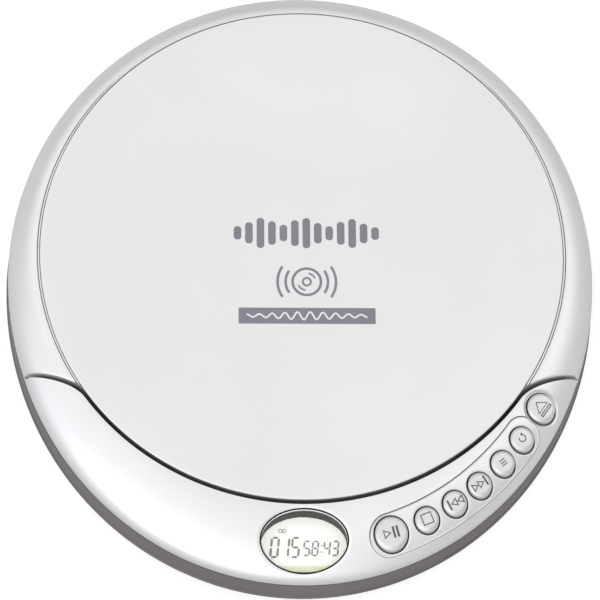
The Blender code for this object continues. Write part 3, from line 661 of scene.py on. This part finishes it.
def carve(made, operation, *shapes, shaded_walls=False):
    """Applies cutters at once and leaves the mesh finished. A cut with shaded walls gets painted shade: dark
    paint on the walls it leaves, standing for the shade in the hole.
    """
    tools = [new_object(f"{made.name}_tool_{i}", *shape, TOOL_WELD) for i, shape in enumerate(shapes)]
    for one in tools:
        step = made.modifiers.new(one.name, "BOOLEAN")
        if shaded_walls:
            one.data.materials.append(PAINT["lining"])
            step.material_mode = "TRANSFER"
        step.operation = operation
        step.solver = "EXACT"
        step.object = one
    bpy.context.view_layer.update()
    graph = bpy.context.evaluated_depsgraph_get()
    done = bpy.data.meshes.new_from_object(made.evaluated_get(graph))
    made.modifiers.clear()
    old = made.data
    made.data = done
    bpy.data.meshes.remove(old)
    for one in tools:
        bpy.data.objects.remove(one)


# ---------------------------------------------------------------- lid
def stations(fine=0.35):
    """Angles round the case, close together where the lid's edge sweeps outwards."""
    swoop = (SWOOP_START - 2, SWOOP_END + 1.5)
    half = np.concatenate([np.arange(0, swoop[0], 1.2), np.arange(*swoop, fine),
                           np.arange(swoop[1], 180.0, 2.0)])
    return np.concatenate([-90.0 + half, [90.0], -90.0 - half[:0:-1]])


def lid_shell():
    angles = stations()
    edge, limit = lid_edge(angles), outline(angles)
    away = from_front(angles)
    ring = np.minimum(GROOVE_RADIUS, edge)
    beside = edge > GROOVE_RADIUS
    # Beside the plate a flat bead stands between two fine slots. At the back it joins the shoulder.
    joined = np.clip((away - JOIN_START) / JOIN_SPAN, 0, 1)
    slot_z = SLOT_Z + (BEAD_Z - SLOT_Z) * joined
    wide = 0.16 * joined
    rows = [(0, RECESS_Z)]
    for r, z in ((61.2, RECESS_Z), (62.13 + wide, 25.0), (62.15 + wide, BEAD_Z - 0.06),
                 (62.20 + wide, BEAD_Z), (62.50, BEAD_Z),
                 (62.55, np.minimum(BEAD_Z - 0.06 + 0.06 * joined, BEAD_Z)), (62.57, slot_z)):
        rows.append((np.minimum(r, ring), np.where(r < ring, z, RECESS_Z)))
    rows += [(ring, np.where(beside, slot_z, RECESS_Z)),
             (ring, np.where(beside, RING_TOP_Z - 0.07, RECESS_Z))]
    # Shoulder from the groove to the lid's edge.
    soft = 0.55
    stop = np.maximum(edge - soft, ring)
    reach = np.clip((stop - GROOVE_RADIUS) / (limit - GROOVE_RADIUS), 0, 1)
    stop_turn = np.arcsin(np.clip(reach ** (SHOULDER_POWER / 2), 0, 1))
    edge_z = np.where(beside, crown(edge, angles, RING_TOP_Z), RECESS_Z)
    alive = edge > GROOVE_RADIUS + 0.15
    for i in range(SHOULDER_STEPS + 1):
        share = np.sin(stop_turn * i / SHOULDER_STEPS) ** (2 / SHOULDER_POWER)
        radius = GROOVE_RADIUS + (limit - GROOVE_RADIUS) * share
        height = crown(radius, angles, RING_TOP_Z)
        if i == 0:
            radius = radius + 0.05
        rows.append((np.where(alive, radius, ring), np.where(alive, height, RECESS_Z)))
    low = np.where(away < SWOOP_END, np.clip(edge_z - 0.25, SPLIT_Z, WALL_LOW_Z), SPLIT_Z)
    rows += bend(rows[-1], (edge, edge_z), (edge, np.maximum(edge_z - soft, low)), 6)
    # Edge, then the inside of the wall and the roof.
    inner = edge - LID_WALL
    rows += [(edge, low), (edge - 0.25, low), (inner, low)]
    for radius in (inner, 0.5 * (inner + ROOF_RADIUS)):
        height = crown(np.maximum(radius + 1.0, GROOVE_RADIUS), angles, RING_TOP_Z) - 1.7
        rows.append((radius, np.minimum(height, ROOF_Z)))
    rows += [(ROOF_RADIUS, ROOF_Z), (0, ROOF_Z)]
    made = piece("lid_moulding", *revolve(rows, angles, False), "silver", None, None, sharp=38)
    barrel = laid_rod((-4.2, HINGE_Y, HINGE_Z), (4.2, HINGE_Y, HINGE_Z), 1.5, 40)
    bore = laid_rod((-6, HINGE_Y, HINGE_Z), (6, HINGE_Y, HINGE_Z), 0.75, 24)
    catch = polar(CATCH_ANGLE, CATCH_RADIUS)
    tongue_plan = placed(rectangle(-2.5, -0.55, 2.5, 0.55), CATCH_ANGLE + 90, catch)
    window_plan = placed(rectangle(-1.6, -2, 1.6, 2), CATCH_ANGLE + 90, catch)
    lug = box(-3.9, 72.0, 3.9, 74.0, HINGE_Z + 0.1, 19.2)
    carve(made, "UNION", lug, barrel, bar_shape(tongue_plan, 11.4, 19.5))
    carve(made, "DIFFERENCE", bore, bar_shape(window_plan, 12.5, 14.4))

    def gets_slot_or_gap_shade(x, y, z, normal):
        reach = math.hypot(x, y - DISC_Y)
        if 24.9 < z < 25.9 and PLATE_RADIUS < reach < GROOVE_RADIUS + 0.05:
            return True
        front = float(from_front(math.degrees(math.atan2(y - DISC_Y, x)))) < SWOOP_START
        return front and normal.z < 0.3 and 18.2 < z < 25.2 and reach > SKIRT_RADIUS - 0.1

    # The slot walls and the skirt facing the gap get painted shade.
    paint_gap_shade(made, gets_slot_or_gap_shade)
    shade(made, 38)
    attach(made, "lid", ["lid_shell"])


def placed(plan, degrees, at):
    c, s = turned(degrees)
    plan = np.asarray(plan, float)
    return np.stack([at[0] + plan[:, 0] * c - plan[:, 1] * s, at[1] + plan[:, 0] * s + plan[:, 1] * c], 1)


def lid_plate():
    profile = [(0, PLATE_TOP_Z), (30, PLATE_TOP_Z, 0), (58, PLATE_TOP_Z, 0),
               (61.80, PLATE_TOP_Z - 0.02, 0.12),
               (PLATE_RADIUS, PLATE_TOP_Z - 0.20, 0.08), (PLATE_RADIUS, 25.5, 0.05), (0, 25.5)]
    lathe("lid_disc_plate", profile, "plate", "lid", "lid_plate_finish", ["lid_plate"], count=240, sharp=30)


def lid_liner():
    profile = [(0, 23.8), (59.8, 23.8, 0.1), (59.8, 22.8, 0.2)]
    for r in (56.0, 46.0, 36.0, 26.0):
        profile += [(r + 0.5, 22.8, 0.1), (r + 0.35, 22.55, 0.1), (r - 0.35, 22.55, 0.1),
                    (r - 0.5, 22.8, 0.1)]
    profile += [(16.6, 22.8, 0.3), (15.8, 20.9, 0.25), (9.6, 20.9, 0.25), (9.4, 22.6, 0.2), (4.4, 22.6, 0.1),
                (4.2, 22.2, 0.1), (0, 22.2)]
    lathe("lid_liner_disc", profile, "liner", "lid", "liner_plastic", ["lid_liner"], count=160, sharp=30)


# ---------------------------------------------------------------- front panel
def tray_shape(count=240):
    """Closed plan of the shallow tray the six round buttons stand in, rounded at both ends."""
    first, last = -78.0, -38.3
    outer, inner = [], []
    for i in range(count + 1):
        share = 0.5 - 0.5 * math.cos(math.pi * i / count)
        degrees = first + (last - first) * share
        middle = float(outline(degrees)) - 6.6 + 0.9 * share
        half = 4.7 - 0.5 * share
        along = math.radians(min(degrees - first, last - degrees)) * middle
        if along < half:
            half *= math.sqrt(max(1 - (1 - along / half) ** 2, 0.0))
        outer.append(polar(degrees, middle + half))
        inner.append(polar(degrees, middle - half))
    return np.array(outer + inner[::-1])


def signed_distance(x, y, plan):
    """Distance to a closed plan, negative inside it."""
    found = np.full(x.shape, 1e9)
    inside = np.zeros(x.shape, bool)
    for (ax, ay), (bx, by) in zip(plan, np.roll(plan, -1, 0)):
        dx, dy = bx - ax, by - ay
        length = dx * dx + dy * dy
        if length < 1e-12:
            continue
        t = np.clip(((x - ax) * dx + (y - ay) * dy) / length, 0, 1)
        found = np.minimum(found, (x - ax - t * dx) ** 2 + (y - ay - t * dy) ** 2)
        crosses = (ay > y) != (by > y)
        side = x < ax + (y - ay) * dx / (dy if abs(dy) > 1e-12 else 1e-12)
        inside ^= crosses & side
    found = np.sqrt(found)
    return np.where(inside, -found, found)


def ramp(value, start, end):
    t = np.clip((value - start) / (end - start), 0, 1)
    return t * t * (3 - 2 * t)


def panel_relief(x, y):
    """How far the panel's surface lies below its plain crown."""
    drop = TRAY_DEPTH * (1 - ramp(signed_distance(x, y, tray_shape(90)), -0.25, -0.02))
    drop += LCD_DISH * (1 - ramp(signed_distance(x, y, lcd_oval()), 0.05, 0.5))
    for name, degrees, reach, size, _ in BUTTONS:
        # The eject button stands in a dish, the others in a shallow ring.
        depth, first, last = 0.12, BUTTON_GAP, BUTTON_GAP + 0.28
        if name == "button_eject":
            depth, first, last = 0.55, 0.30, 1.0
        bx, by = polar(degrees, reach)
        drop += depth * (1 - ramp(np.hypot(x - bx, y - by), size + first, size + last))
    return drop


def even(path, step):
    """Closed path walked again in equal steps, anticlockwise."""
    path = anticlockwise(path)
    loop = np.concatenate([path, path[:1]])
    walked = np.concatenate([[0.0], np.cumsum(np.linalg.norm(np.diff(loop, axis=0), axis=1))])
    at = np.linspace(0.0, walked[-1], int(walked[-1] / step), endpoint=False)
    return np.stack([np.interp(at, walked, loop[:, 0]), np.interp(at, walked, loop[:, 1])], 1)


def tray_line():
    """Cutter for the fine groove round the tray, wider on the side towards the lid."""
    path = even(tray_shape(240), 0.6)
    x, y = path[:, 0], path[:, 1] - DISC_Y
    lidward = ramp(outline(np.degrees(np.arctan2(y, x))) - np.hypot(x, y), 4.0, 8.5)
    half = (0.055 + 0.075 * lidward)[:, None]
    floor_z = panel_at(x, y + DISC_Y) - TRAY_DEPTH - 0.35
    outer, inner = inset(path, -half), inset(path, half)
    return ring_solid(((outer, floor_z), (outer, CLEAR_Z), (inner, CLEAR_Z), (inner, floor_z)))


def front_panel():
    # First angle, last angle and step: fine where the display and the buttons are.
    spans = ((-156.0, -99.0, 0.5), (-99.0, -79.5, 0.16), (-79.5, -30.0, 0.13), (-30.0, -24.0, 0.3),
             (-24.0, 204.0, 3.0))
    angles = np.concatenate([np.arange(*span) for span in spans])
    limit = outline(angles)
    start = np.minimum(lid_edge(angles) + PANEL_GAP + 0.12, limit)
    lip = np.minimum(start + 0.06, limit)
    raised = start < limit - 1e-6
    # Even steps, closing up towards the steep outer edge.
    u = np.linspace(0, 1, PANEL_SAMPLES)
    shares = np.where(u < 0.8, u / 0.8 * 0.88, 0.88 + 0.12 * np.sin((u - 0.8) / 0.2 * math.pi / 2))
    top_r = lip[:, None] + (limit - lip)[:, None] * shares
    top_z = crown(top_r, angles[:, None], PANEL_TOP_Z)
    x, y = polar(angles[:, None], top_r)
    zone = (angles > -100) & (angles < -29)
    top_z[zone] -= panel_relief(x[zone], y[zone])
    top_z = np.where(raised[:, None], np.maximum(top_z, SPLIT_Z - 0.2), FRAME_TOP_Z)
    columns = [(limit, FRAME_LOW_Z), (limit, FRAME_TOP_Z - 0.1)]
    columns += [(top_r[:, k], top_z[:, k]) for k in reversed(range(PANEL_SAMPLES))]
    # Lip at the gap, then the wall under it and the underside.
    start_z = np.where(raised, crown(start, angles, PANEL_TOP_Z), FRAME_TOP_Z)
    wall_z = np.where(raised, np.minimum(WALL_LOW_Z, start_z - 0.3), FRAME_TOP_Z)
    for out, down in ((0.05, 0.03), (0.0, 0.12)):
        columns.append((start + out, np.where(raised, start_z - down, FRAME_TOP_Z)))
    inner = limit - FRAME_WIDTH
    wall = np.minimum(start + PANEL_WALL, inner)
    thick = start < inner
    columns += [(start, wall_z), (np.where(thick, wall, start), wall_z)]
    for share in (0.0, 0.25, 0.5, 0.75, 1.0):
        radius = wall + (inner - wall) * share
        under = crown(radius, angles, PANEL_TOP_Z) - PANEL_WALL
        columns.append((np.where(thick, radius, inner), np.where(thick & (wall < inner), under, wall_z)))
    columns.append((inner, FRAME_LOW_Z))
    made = piece("control_panel", *revolve(columns, angles, True), "silver", None, None, sharp=55)
    holes = [bar_shape(lcd_oval(0.0, 120), 18.75, CLEAR_Z), tray_line()]
    for _, degrees, reach, size, _ in BUTTONS:
        spot = polar(degrees, reach)
        holes.append(bar_shape(circle(spot, size + BUTTON_GAP, 72), 14, CLEAR_Z))
        holes.append(bar_shape(circle(spot, size + 0.65, 48), 14, 18.6))
    # The walls of the display opening, the tray groove and the button holes get painted shade.
    carve(made, "DIFFERENCE", *holes, shaded_walls=True)
    pin = laid_rod((-9.5, HINGE_Y, HINGE_Z), (9.5, HINGE_Y, HINGE_Z), 1.5, 40)
    carve(made, "UNION", box(-9.2, 71.9, 9.2, 73.4, 15.2, 16.9), pin)
    bore = laid_rod((-8.9, HINGE_Y, HINGE_Z), (8.9, HINGE_Y, HINGE_Z), 0.75, 24)
    behind = box(-10.5, 73.45, 10.5, 80, 16.0, 19)
    carve(made, "DIFFERENCE", box(-4.5, 70.5, 4.5, 78, 13, 17.9), bore, behind)

    def gets_gap_shade(x, y, z, normal):
        if abs(normal.z) >= 0.5 or z >= float(panel_at(x, y)) - 0.2:
            return False
        edge = float(lid_edge(math.degrees(math.atan2(y - DISC_Y, x))))
        return math.hypot(x, y - DISC_Y) < edge + PANEL_GAP + 0.25

    # Panel walls facing the gap get painted shade.
    paint_gap_shade(made, gets_gap_shade)
    shade(made, 50)
    attach(made, "case", ["front_panel"])


# ---------------------------------------------------------------- case
def walls(profile, count):
    """Rows and angles of a profile whose first values are offsets from the plan outline."""
    angles = np.arange(count) * 360.0 / count
    limit = outline(angles)
    return [(limit + out, z) for out, z in profile], angles


def case_band():
    profile = eased(
        [(-2.0, BAND_TOP_Z, 0.05), (0.16, BAND_TOP_Z, 0.18), (0.45, 11.0, 1.0), (0.66, 8.35, 0.12),
         (0.97, 8.05, 0.12), (1.0, 7.45, 0.12), (0.85, BAND_LOW_Z, 0.1), (-1.6, BAND_LOW_Z, 0.05)],
        closed=True)
    made = piece("side_band", *revolve(*walls(profile, 288), True), "band", None, None, sharp=35)
    hinge_notch = box(-9.9, 70, 9.9, 80, 13.7, 18)
    headphone = laid_rod((60, -4, 11.2), (80, -4, 11.2), 3.2, 48)
    power = laid_rod((-80, 22, 11.0), (-50, 22, 11.0), 3.2, 48)
    wheel = box(62, 6.2, 80, 22.8, 9.2, 12.8)
    hold = box(-80, -3.2, -62, 6.2, 9.6, 12.4)
    carve(made, "DIFFERENCE", hinge_notch, headphone, power, wheel, hold)
    shade(made, 35)
    attach(made, "case", ["case_band"])


def bottom_cover():
    profile = [(-200, COVER_LOW_Z, 0), (-5.5, COVER_LOW_Z, 1.2), (-2.0, 2.2, 1.2), (0.2, 4.6, 0.8),
               (0.6, COVER_TOP_Z, 0.1), (-1.6, COVER_TOP_Z, 0.1), (-1.9, 4.6, 0.4), (-4.2, 2.8, 0.6),
               (-6.0, 2.4, 0.4), (-200, 2.4, 0)]
    rows, angles = walls(eased(profile), 240)
    rows[0], rows[-1] = (0, rows[0][1]), (0, rows[-1][1])
    made = piece("underside_cover", *revolve(rows, angles, False), "under", None, None, sharp=35)
    posts = [laid_rod((x, y, 1.6), (x, y, 16.6), 3.0, 32) for x, y in SCREWS]
    carve(made, "UNION", *posts, box(-32, 27.4, 32, 62.5, 1.7, 9.0))
    door = rounded_box(33.3, 18.7, 1.2) + np.array([0, 44.9])
    cuts = [box(-30.5, 29, 30.5, 61, -2, 12), bar_shape(door, -2, 2.0)]
    for x, y in SCREWS:
        cuts += [laid_rod((x, y, -1), (x, y, 12.5), 1.25, 24), laid_rod((x, y, -1), (x, y, 3.3), 2.4, 40)]
    cuts += [laid_rod((x, y, -1), (x, y, 1.7), 4.4, 48) for x, y in FEET]
    carve(made, "DIFFERENCE", *cuts)
    shade(made, 35)
    attach(made, "case", ["bottom_cover"])


def deck():
    angles = stations(0.5)
    limit = outline(angles)
    swoop = np.minimum(lid_edge(angles) + 2.7, limit - 3.6)
    edge = np.where(from_front(angles) < SWOOP_END + 0.5, swoop, limit - 2.7)
    rows = [(0, DECK_TOP_Z - 0.45)]
    for r, z in ((16.0, 17.55), (17.2, 17.55), (17.6, 17.75), (19.4, 17.75), (19.65, 17.97), (20.35, 17.97),
                 (20.6, 17.75), (22.8, 17.75), (23.1, 17.58), (56.6, 17.58), (56.9, 17.75), (60.2, 17.75),
                 (60.5, 17.98), (61.0, DECK_TOP_Z)):
        rows.append((np.minimum(r, edge - 0.4), z))
    rows += [(edge - 0.15, DECK_TOP_Z), (edge, DECK_TOP_Z - 0.15), (edge, 17.0), (0, 17.0)]
    made = piece("disc_well_deck", *revolve(rows, angles, False), "deck", None, None, sharp=35)
    rib = rounded_box(13.5, 0.55, 0.5)
    ribs = [bar_shape(placed(rib, angle, polar(angle, 40.0)), 17.3, 17.78) for angle in range(-60, 241, 30)]
    carve(made, "UNION", *ribs)
    catch = placed(rectangle(-3.2, -1.6, 3.2, 1.3), CATCH_ANGLE + 90, polar(CATCH_ANGLE, CATCH_RADIUS))
    eject = polar(BUTTONS[-1][1], BUTTONS[-1][2])
    cuts = [laid_rod((0, DISC_Y, 14), (0, DISC_Y, 20), 15.6, 96),
            bar_shape(rounded_box(7.0, 29.0, 1.5) + np.array([0, -27.0]), 14, 20),
            box(-10, 70.9, 10, 80, 14, 20), bar_shape(catch, 12, 20),
            laid_rod((*eject, 14), (*eject, 20), 4.4, 48)]
    carve(made, "DIFFERENCE", *cuts)
    shade(made, 35)
    attach(made, "case", ["well_deck"])


# ---------------------------------------------------------------- glyphs and prints
def loop_solid(path, width, low, high):
    """Closed outline drawn with a pen of this width."""
    path = anticlockwise(path)
    outer, inner = inset(path, -width / 2), inset(path, width / 2)
    return ring_solid(((outer, low), (outer, high), (inner, high), (inner, low)))


def line_solid(start, end, width, low, high):
    start, end = np.asarray(start, float), np.asarray(end, float)
    along = (end - start) / np.linalg.norm(end - start)
    side = np.array([-along[1], along[0]]) * width / 2
    return bar_shape([start - side, end - side, end + side, start + side], low, high)


def arc_solid(centre, radius, first, last, width, low, high):
    angles = np.radians(np.linspace(first, last, 25))
    spokes = np.stack([np.cos(angles), np.sin(angles)], 1)
    outer, inner = (np.array(centre) + (radius + out) * spokes for out in (width / 2, -width / 2))
    return bar_shape(np.concatenate([outer, inner[::-1]]), low, high)


def glyph(label, low, high):
    """Outlined pictogram about the origin, u to the right and v upwards."""

    def loop(*path):
        return loop_solid(path, GLYPH_PEN, low, high)

    def bar(a, b, width=GLYPH_PEN):
        return line_solid(a, b, width, low, high)

    if label == "button_play":
        bars = [bar((u, -1.3), (u, 1.3), 0.5) for u in (0.55, 1.45)]
        return [loop((-1.75, -0.85), (-0.25, 0.0), (-1.75, 0.85)), *bars]
    if label == "button_stop":
        return [loop(*rectangle(-1.2, -1.2, 1.2, 1.2))]
    if label in ("button_previous", "button_next"):
        sign = 1 if label == "button_next" else -1
        arrows = [loop((sign * u, -0.8), (sign * (u + 1.3), 0.0), (sign * u, 0.8)) for u in (-1.95, -0.35)]
        return [*arrows, bar((sign * 1.55, -1.2), (sign * 1.55, 1.2), 0.42)]
    if label == "button_list":
        return [bar((-0.75, v), (0.75, v)) for v in (-0.6, 0.0, 0.6)]
    if label == "button_mode":
        arrowhead = bar_shape([(0.05, 0.8), (0.7, 0.32), (0.8, 1.15)], low, high)
        return [arc_solid((0, 0), 0.8, -230, 60, GLYPH_PEN, low, high), arrowhead]
    return [loop((-1.75, -0.45), (1.75, -0.45), (0.0, 1.6)), loop(*rectangle(-1.75, -1.55, 1.75, -1.05))]


def buttons():
    for label, degrees, reach, size, top in BUTTONS:
        spot = polar(degrees, reach)
        outwards = np.array(turned(degrees))
        side = size - 0.08
        profile = [(0, top + 0.03), (size * 0.5, top + 0.02, 0.8), (side - 0.62, top - 0.04, 0.22),
                   (side - 0.04, top - 0.62, 0.12), (side, 18.1, 0.05), (size + 0.4, 18.1, 0.08),
                   (size + 0.4, 17.6, 0.08), (0, 17.6)]
        cap = lathe(label + "_cap", profile, "button", None, None, centre=spot, count=72)
        # The top leans outwards, down from the side nearest the lid.
        for vertex in cap.data.vertices:
            if vertex.co.z > LEAN_ABOVE_Z * MM:
                away = (np.array(vertex.co[:2]) / MM - spot) @ outwards + size
                vertex.co.z -= max(away, 0.0) * BUTTON_LEAN * MM
        shade(cap, 35)
        attach(cap, label, [label])
        points, faces = merged(glyph(label, top - 0.02, top + 0.05))
        mark = np.array(points)
        mark[:, :2] = placed(mark[:, :2], degrees + 90.0, spot)
        mark[:, 2] -= ((mark[:, :2] - spot) @ outwards + size) * BUTTON_LEAN
        piece(label + "_mark", mark, faces, "glyph", label, "button_silver", sharp=30)


def printed(name, *shapes, paint="ink"):
    piece(name, *merged(shapes), paint, "lid", "lid_plate_finish", sharp=30)


def prints():
    low, high = PLATE_TOP_Z - 0.02, PLATE_TOP_Z + 0.03
    # Row of level bars, the decoration above the disc symbol.
    heights = (3.4, 5.4, 7.7, 6.0, 4.2, 6.6, 7.7, 5.2, 3.6, 5.8, 7.4, 5.0, 3.2)
    pitch = LEVELS_WIDTH / len(heights)
    bars = []
    for i, tall in enumerate(heights):
        spot = np.array([PRINT_X - LEVELS_WIDTH / 2 + pitch * (i + 0.5), 9.0])
        bars.append(bar_shape(rounded_box(pitch * 0.33, tall / 2, pitch * 0.30) + spot, low, high))
    printed("level_bar_print", *bars)
    # Disc symbol between two pairs of sound arcs.
    centre = (PRINT_X, -3.4)
    strokes = [loop_solid(circle(centre, 3.35, 64), 0.62, low, high),
               loop_solid(circle(centre, 0.95, 40), 0.5, low, high)]
    strokes += [arc_solid(centre, 2.15, first, first + 55, 0.42, low, high) for first in (25, 205)]
    for reach in (5.0, 6.9):
        strokes += [arc_solid(centre, reach, first, first + 68, 0.62, low, high) for first in (-34, 146)]
    printed("disc_symbol_print", *strokes)
    # Plaque with a light wave line on it.
    centre = np.array([PRINT_X, -12.0])
    printed("plaque_print", bar_shape(rounded_box(16.1, 2.0, 0.25) + centre, low, high))
    u = np.linspace(-WAVE_HALF, WAVE_HALF, 240)
    v = 0.95 * np.sin(u * 2.1) * (0.35 + 0.65 * np.cos(u / WAVE_HALF * math.pi / 2) ** 2)
    path = np.stack([u, v], 1) + centre
    slope = np.gradient(path, axis=0)
    slope /= np.linalg.norm(slope, axis=1)[:, None]
    side = np.stack([-slope[:, 1], slope[:, 0]], 1) * 0.21
    left, right = path + side, path - side
    under, over = high - 0.01, high + 0.03
    points, _ = ring_solid(((right, under), (left, under), (left, over), (right, over)))
    count = len(path)
    faces = cell_faces(4, count, True, False)
    faces += [tuple(range(0, 4 * count, count)), tuple(range(count - 1, 4 * count, count))]
    printed("plaque_wave_print", (points, faces), paint="plate")


# ---------------------------------------------------------------- display
SEGMENTS = {
    "0": "abcdef", "1": "bc", "5": "acdfg", "8": "abcdefg", "4": "bcfg", "3": "abcdg",
}


def digit(character, left, front, width, height, pen):
    """Seven-segment figure whose bars are separate, leaning to the right."""
    gap, mid = pen * 0.1, height / 2
    places = {
        "a": ((gap, height), (width - gap, height)),
        "b": ((width, height - gap), (width, mid + gap)),
        "c": ((width, mid - gap), (width, gap)),
        "d": ((gap, 0), (width - gap, 0)),
        "e": ((0, mid - gap), (0, gap)),
        "f": ((0, height - gap), (0, mid + gap)),
        "g": ((gap, mid), (width - gap, mid)),
    }
    shapes = []
    for name in SEGMENTS[character]:
        a, b = (np.array(place, float) for place in places[name])
        along = (b - a) / np.linalg.norm(b - a)
        side = np.array([-along[1], along[0]]) * pen / 2
        a, b = a + along * pen * 0.08, b - along * pen * 0.08
        neck = along * pen * 0.5
        plan = np.array([a, a + neck - side, b - neck - side, b, b - neck + side, a + neck + side])
        plan[:, 0] += plan[:, 1] * FIGURE_SLANT
        shapes.append(bar_shape(plan + (left, front), *FIGURE_Z))
    return shapes


def display():
    plan = rounded_box(10.6, 5.75, 0.4) + np.array([0, -65.05])
    prism("display_module", plan, 16.8, GLASS_Z, "display", "case", "display_glass", ["lcd_module"], 0.12)
    # The reflector round the glass carries the display's painted glow.
    skirt = bar_shape(lcd_oval(0.7), 18.2, GLASS_Z - 0.04)
    piece("display_reflector", *skirt, "display", "case", "display_glass", sharp=30)
    # Hood between the window and the glass, with a rim that shows round the window. Its near-black paint is
    # painted shade, standing for the shadow in the display's well.
    far, near, inside = (lcd_oval(grown, 120) for grown in (0.5, -0.03, -0.36))
    top = panel_at(near[:, 0], near[:, 1])
    foot = GLASS_Z - 0.04
    hood = ring_solid(((far, foot), (far, top - 1.5), (near, top - 1.5), (near, top - 0.34),
                       (inside, top - 0.34), (inside, foot)))
    piece("display_hood", *hood, "hood", "case", "dark_case_plastic", sharp=30)
    shapes = []
    for character, left in zip("015", (-7.75, -5.35, -2.95)):
        shapes += digit(character, left, -68.5, 1.62, 4.6, 0.56)
    for character, left in zip("5843", (-0.1, 1.85, 4.55, 6.5)):
        shapes += digit(character, left, -68.1, 1.28, 3.35, 0.44)
    for y in (-67.3, -65.7):
        shapes.append(bar_shape(circle((3.95 + (y + 68.1) * FIGURE_SLANT, y), 0.2, 12), *FIGURE_Z))
    for x in (-5.35, -4.45):
        shapes.append(loop_solid(circle((x, -62.3), 0.42, 24), 0.2, *FIGURE_Z))
    piece("display_figures", *merged(shapes), "segment", "case", "display_glass", sharp=30)
    # Clear window, whose two faces follow the panel's crown.
    rings = []
    steps = np.maximum(np.linspace(0, 1, 15), 1e-5)
    for below, shares in ((0.28, steps), (1.15, steps[::-1])):
        for share in shares:
            plan = oval(LCD_CENTRE, (LCD_HALF[0] - 0.39) * share, (LCD_HALF[1] - 0.39) * share, 96)
            rings.append((plan, panel_at(plan[:, 0], plan[:, 1]) - below))
    piece("display_window", *ring_solid(rings, False), "window", "case", "clear_window", ["lcd_window"],
          weld=WINDOW_WELD)


# ---------------------------------------------------------------- inner works and underside
def works():
    turntable = [(0, 21.6, 0), (2.2, 21.6, 0.1), (2.4, 21.2, 0.1), (5.2, 21.2, 0.1), (5.4, 21.6, 0.1),
                 (5.9, 21.5, 0.3), (7.3, 20.4, 0.3), (7.3, 19.4, 0.1), (8.6, 19.4, 0.05),
                 (8.8, 19.25, 0.05), (13.0, 19.25, 0.05), (13.2, 19.4, 0.05), (14.2, 19.4, 0.15),
                 (14.2, 18.2, 0.1), (6, 18.2), (5, 16.8), (1.02, 16.8), (1.02, 9.0), (0, 9.0)]
    hub = lathe("disc_hub", turntable, "hub", None, None, size=0.1)
    seats = []
    for i in range(3):
        x, y = turned(90 + 120 * i)
        seats.append(laid_rod((3.6 * x, DISC_Y + 3.6 * y, 20.4), (9.5 * x, DISC_Y + 9.5 * y, 20.4), 1.0, 24))
        arc = [(0.95 * math.sin(a), 20.4 + 0.95 * math.cos(a), 0) for a in np.linspace(0, math.pi, 17)]
        arc[0], arc[-1] = (0, arc[0][1], 0), (0, arc[-1][1], 0)
        lathe(f"clamp_ball_ball_{i + 1}", arc, "steel", "spindle", "steel", [f"clamp_ball_{i + 1}"],
              centre=(6.5 * x, DISC_Y + 6.5 * y), count=28)
    carve(hub, "DIFFERENCE", *seats)
    shade(hub, 35)
    attach(hub, "spindle", ["spindle_hub"])
    can = [(1.08, 15.1, 0.05), (11.2, 15.1, 0.3), (11.8, 14.6, 0.2), (11.8, 7.8, 0.2), (11.0, 7.2, 0.2),
           (1.08, 7.2, 0.05)]
    lathe("spindle_motor_can", can, "steel", "case", "steel", ["spindle_motor"], count=72)
    dome = [(0, 17.4, 0), (0.9, 17.33, 0.4), (1.6, 17.1, 0.4), (2.2, 16.8, 0.2), (2.6, 16.5, 0.1),
            (2.6, 15.9, 0.05), (0, 15.9)]
    lathe("pickup_lens_dome", dome, "lens", "pickup", "lens_glass", ["pickup_lens"], centre=(0, -17),
          count=48)
    foot = [(0, 0.12, 0), (2.6, 0.12, 0.1), (3.0, 0.0, 0.1), (3.6, 0, 0.25), (4.0, 0.4, 0.2), (4.0, 1.5, 0.1),
            (0, 1.5)]
    for i, spot in enumerate(FEET):
        lathe(f"rubber_foot_{i + 1}", foot, "rubber", "case", "rubber", [f"foot_{i + 1}"], centre=spot,
              count=48)


def screws():
    profile = [(0, 1.4, 0), (1.6, 1.4, 0.15), (2.1, 1.9, 0.2), (2.1, 3.0, 0.05), (1.0, 3.0, 0.05),
               (1.0, 11.8, 0.1), (0, 11.8)]
    for i, spot in enumerate(SCREWS):
        made = lathe(f"cross_screw_{i + 1}", profile, "steel", None, None, centre=spot, count=40)
        slot = rectangle(-1.25, -0.2, 1.25, 0.2)
        cross = [bar_shape(placed(slot, turn, spot), 0.5, 2.1) for turn in (25, 115)]
        carve(made, "DIFFERENCE", *cross)
        shade(made, 35)
        attach(made, "case", [f"case_screw_{i + 1}"])


def cad_finishes():
    """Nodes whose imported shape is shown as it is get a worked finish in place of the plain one."""
    plan = {
        "steel": ("hinge_pin", "mech_chassis", "guide_rod_left", "guide_rod_right", "feed_motor",
                  "capacitor_a", "capacitor_b", "contact_spring_front", "contact_spring_rear"),
        "brass": ("feed_screw", "contact_plate_front", "contact_plate_rear"),
        "hub": ("pickup_sled", "eject_latch"),
        "black": ("main_chip", "memory_chip", "driver_chip", "headphone_jack", "dc_jack", "volume_wheel",
                  "hold_switch", "lid_switch"),
        "board": ("keypad_board", "main_board"),
        "silicone": ("keypad_mat",),
        "under": ("battery_door",),
        "cell": ("battery_front", "battery_rear"),
    }
    for paint, nodes in plan.items():
        for node in nodes:
            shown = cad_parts[node]
            if not shown.data.materials:
                shown.data.materials.append(PAINT[paint])
            for i in range(len(shown.material_slots)):
                shown.material_slots[i].material = PAINT[paint]


place_camera()
mix_paints()
studio()
floor()
lid_shell()
lid_plate()
lid_liner()
front_panel()
case_band()
bottom_cover()
deck()
buttons()
prints()
display()
works()
screws()
cad_finishes()
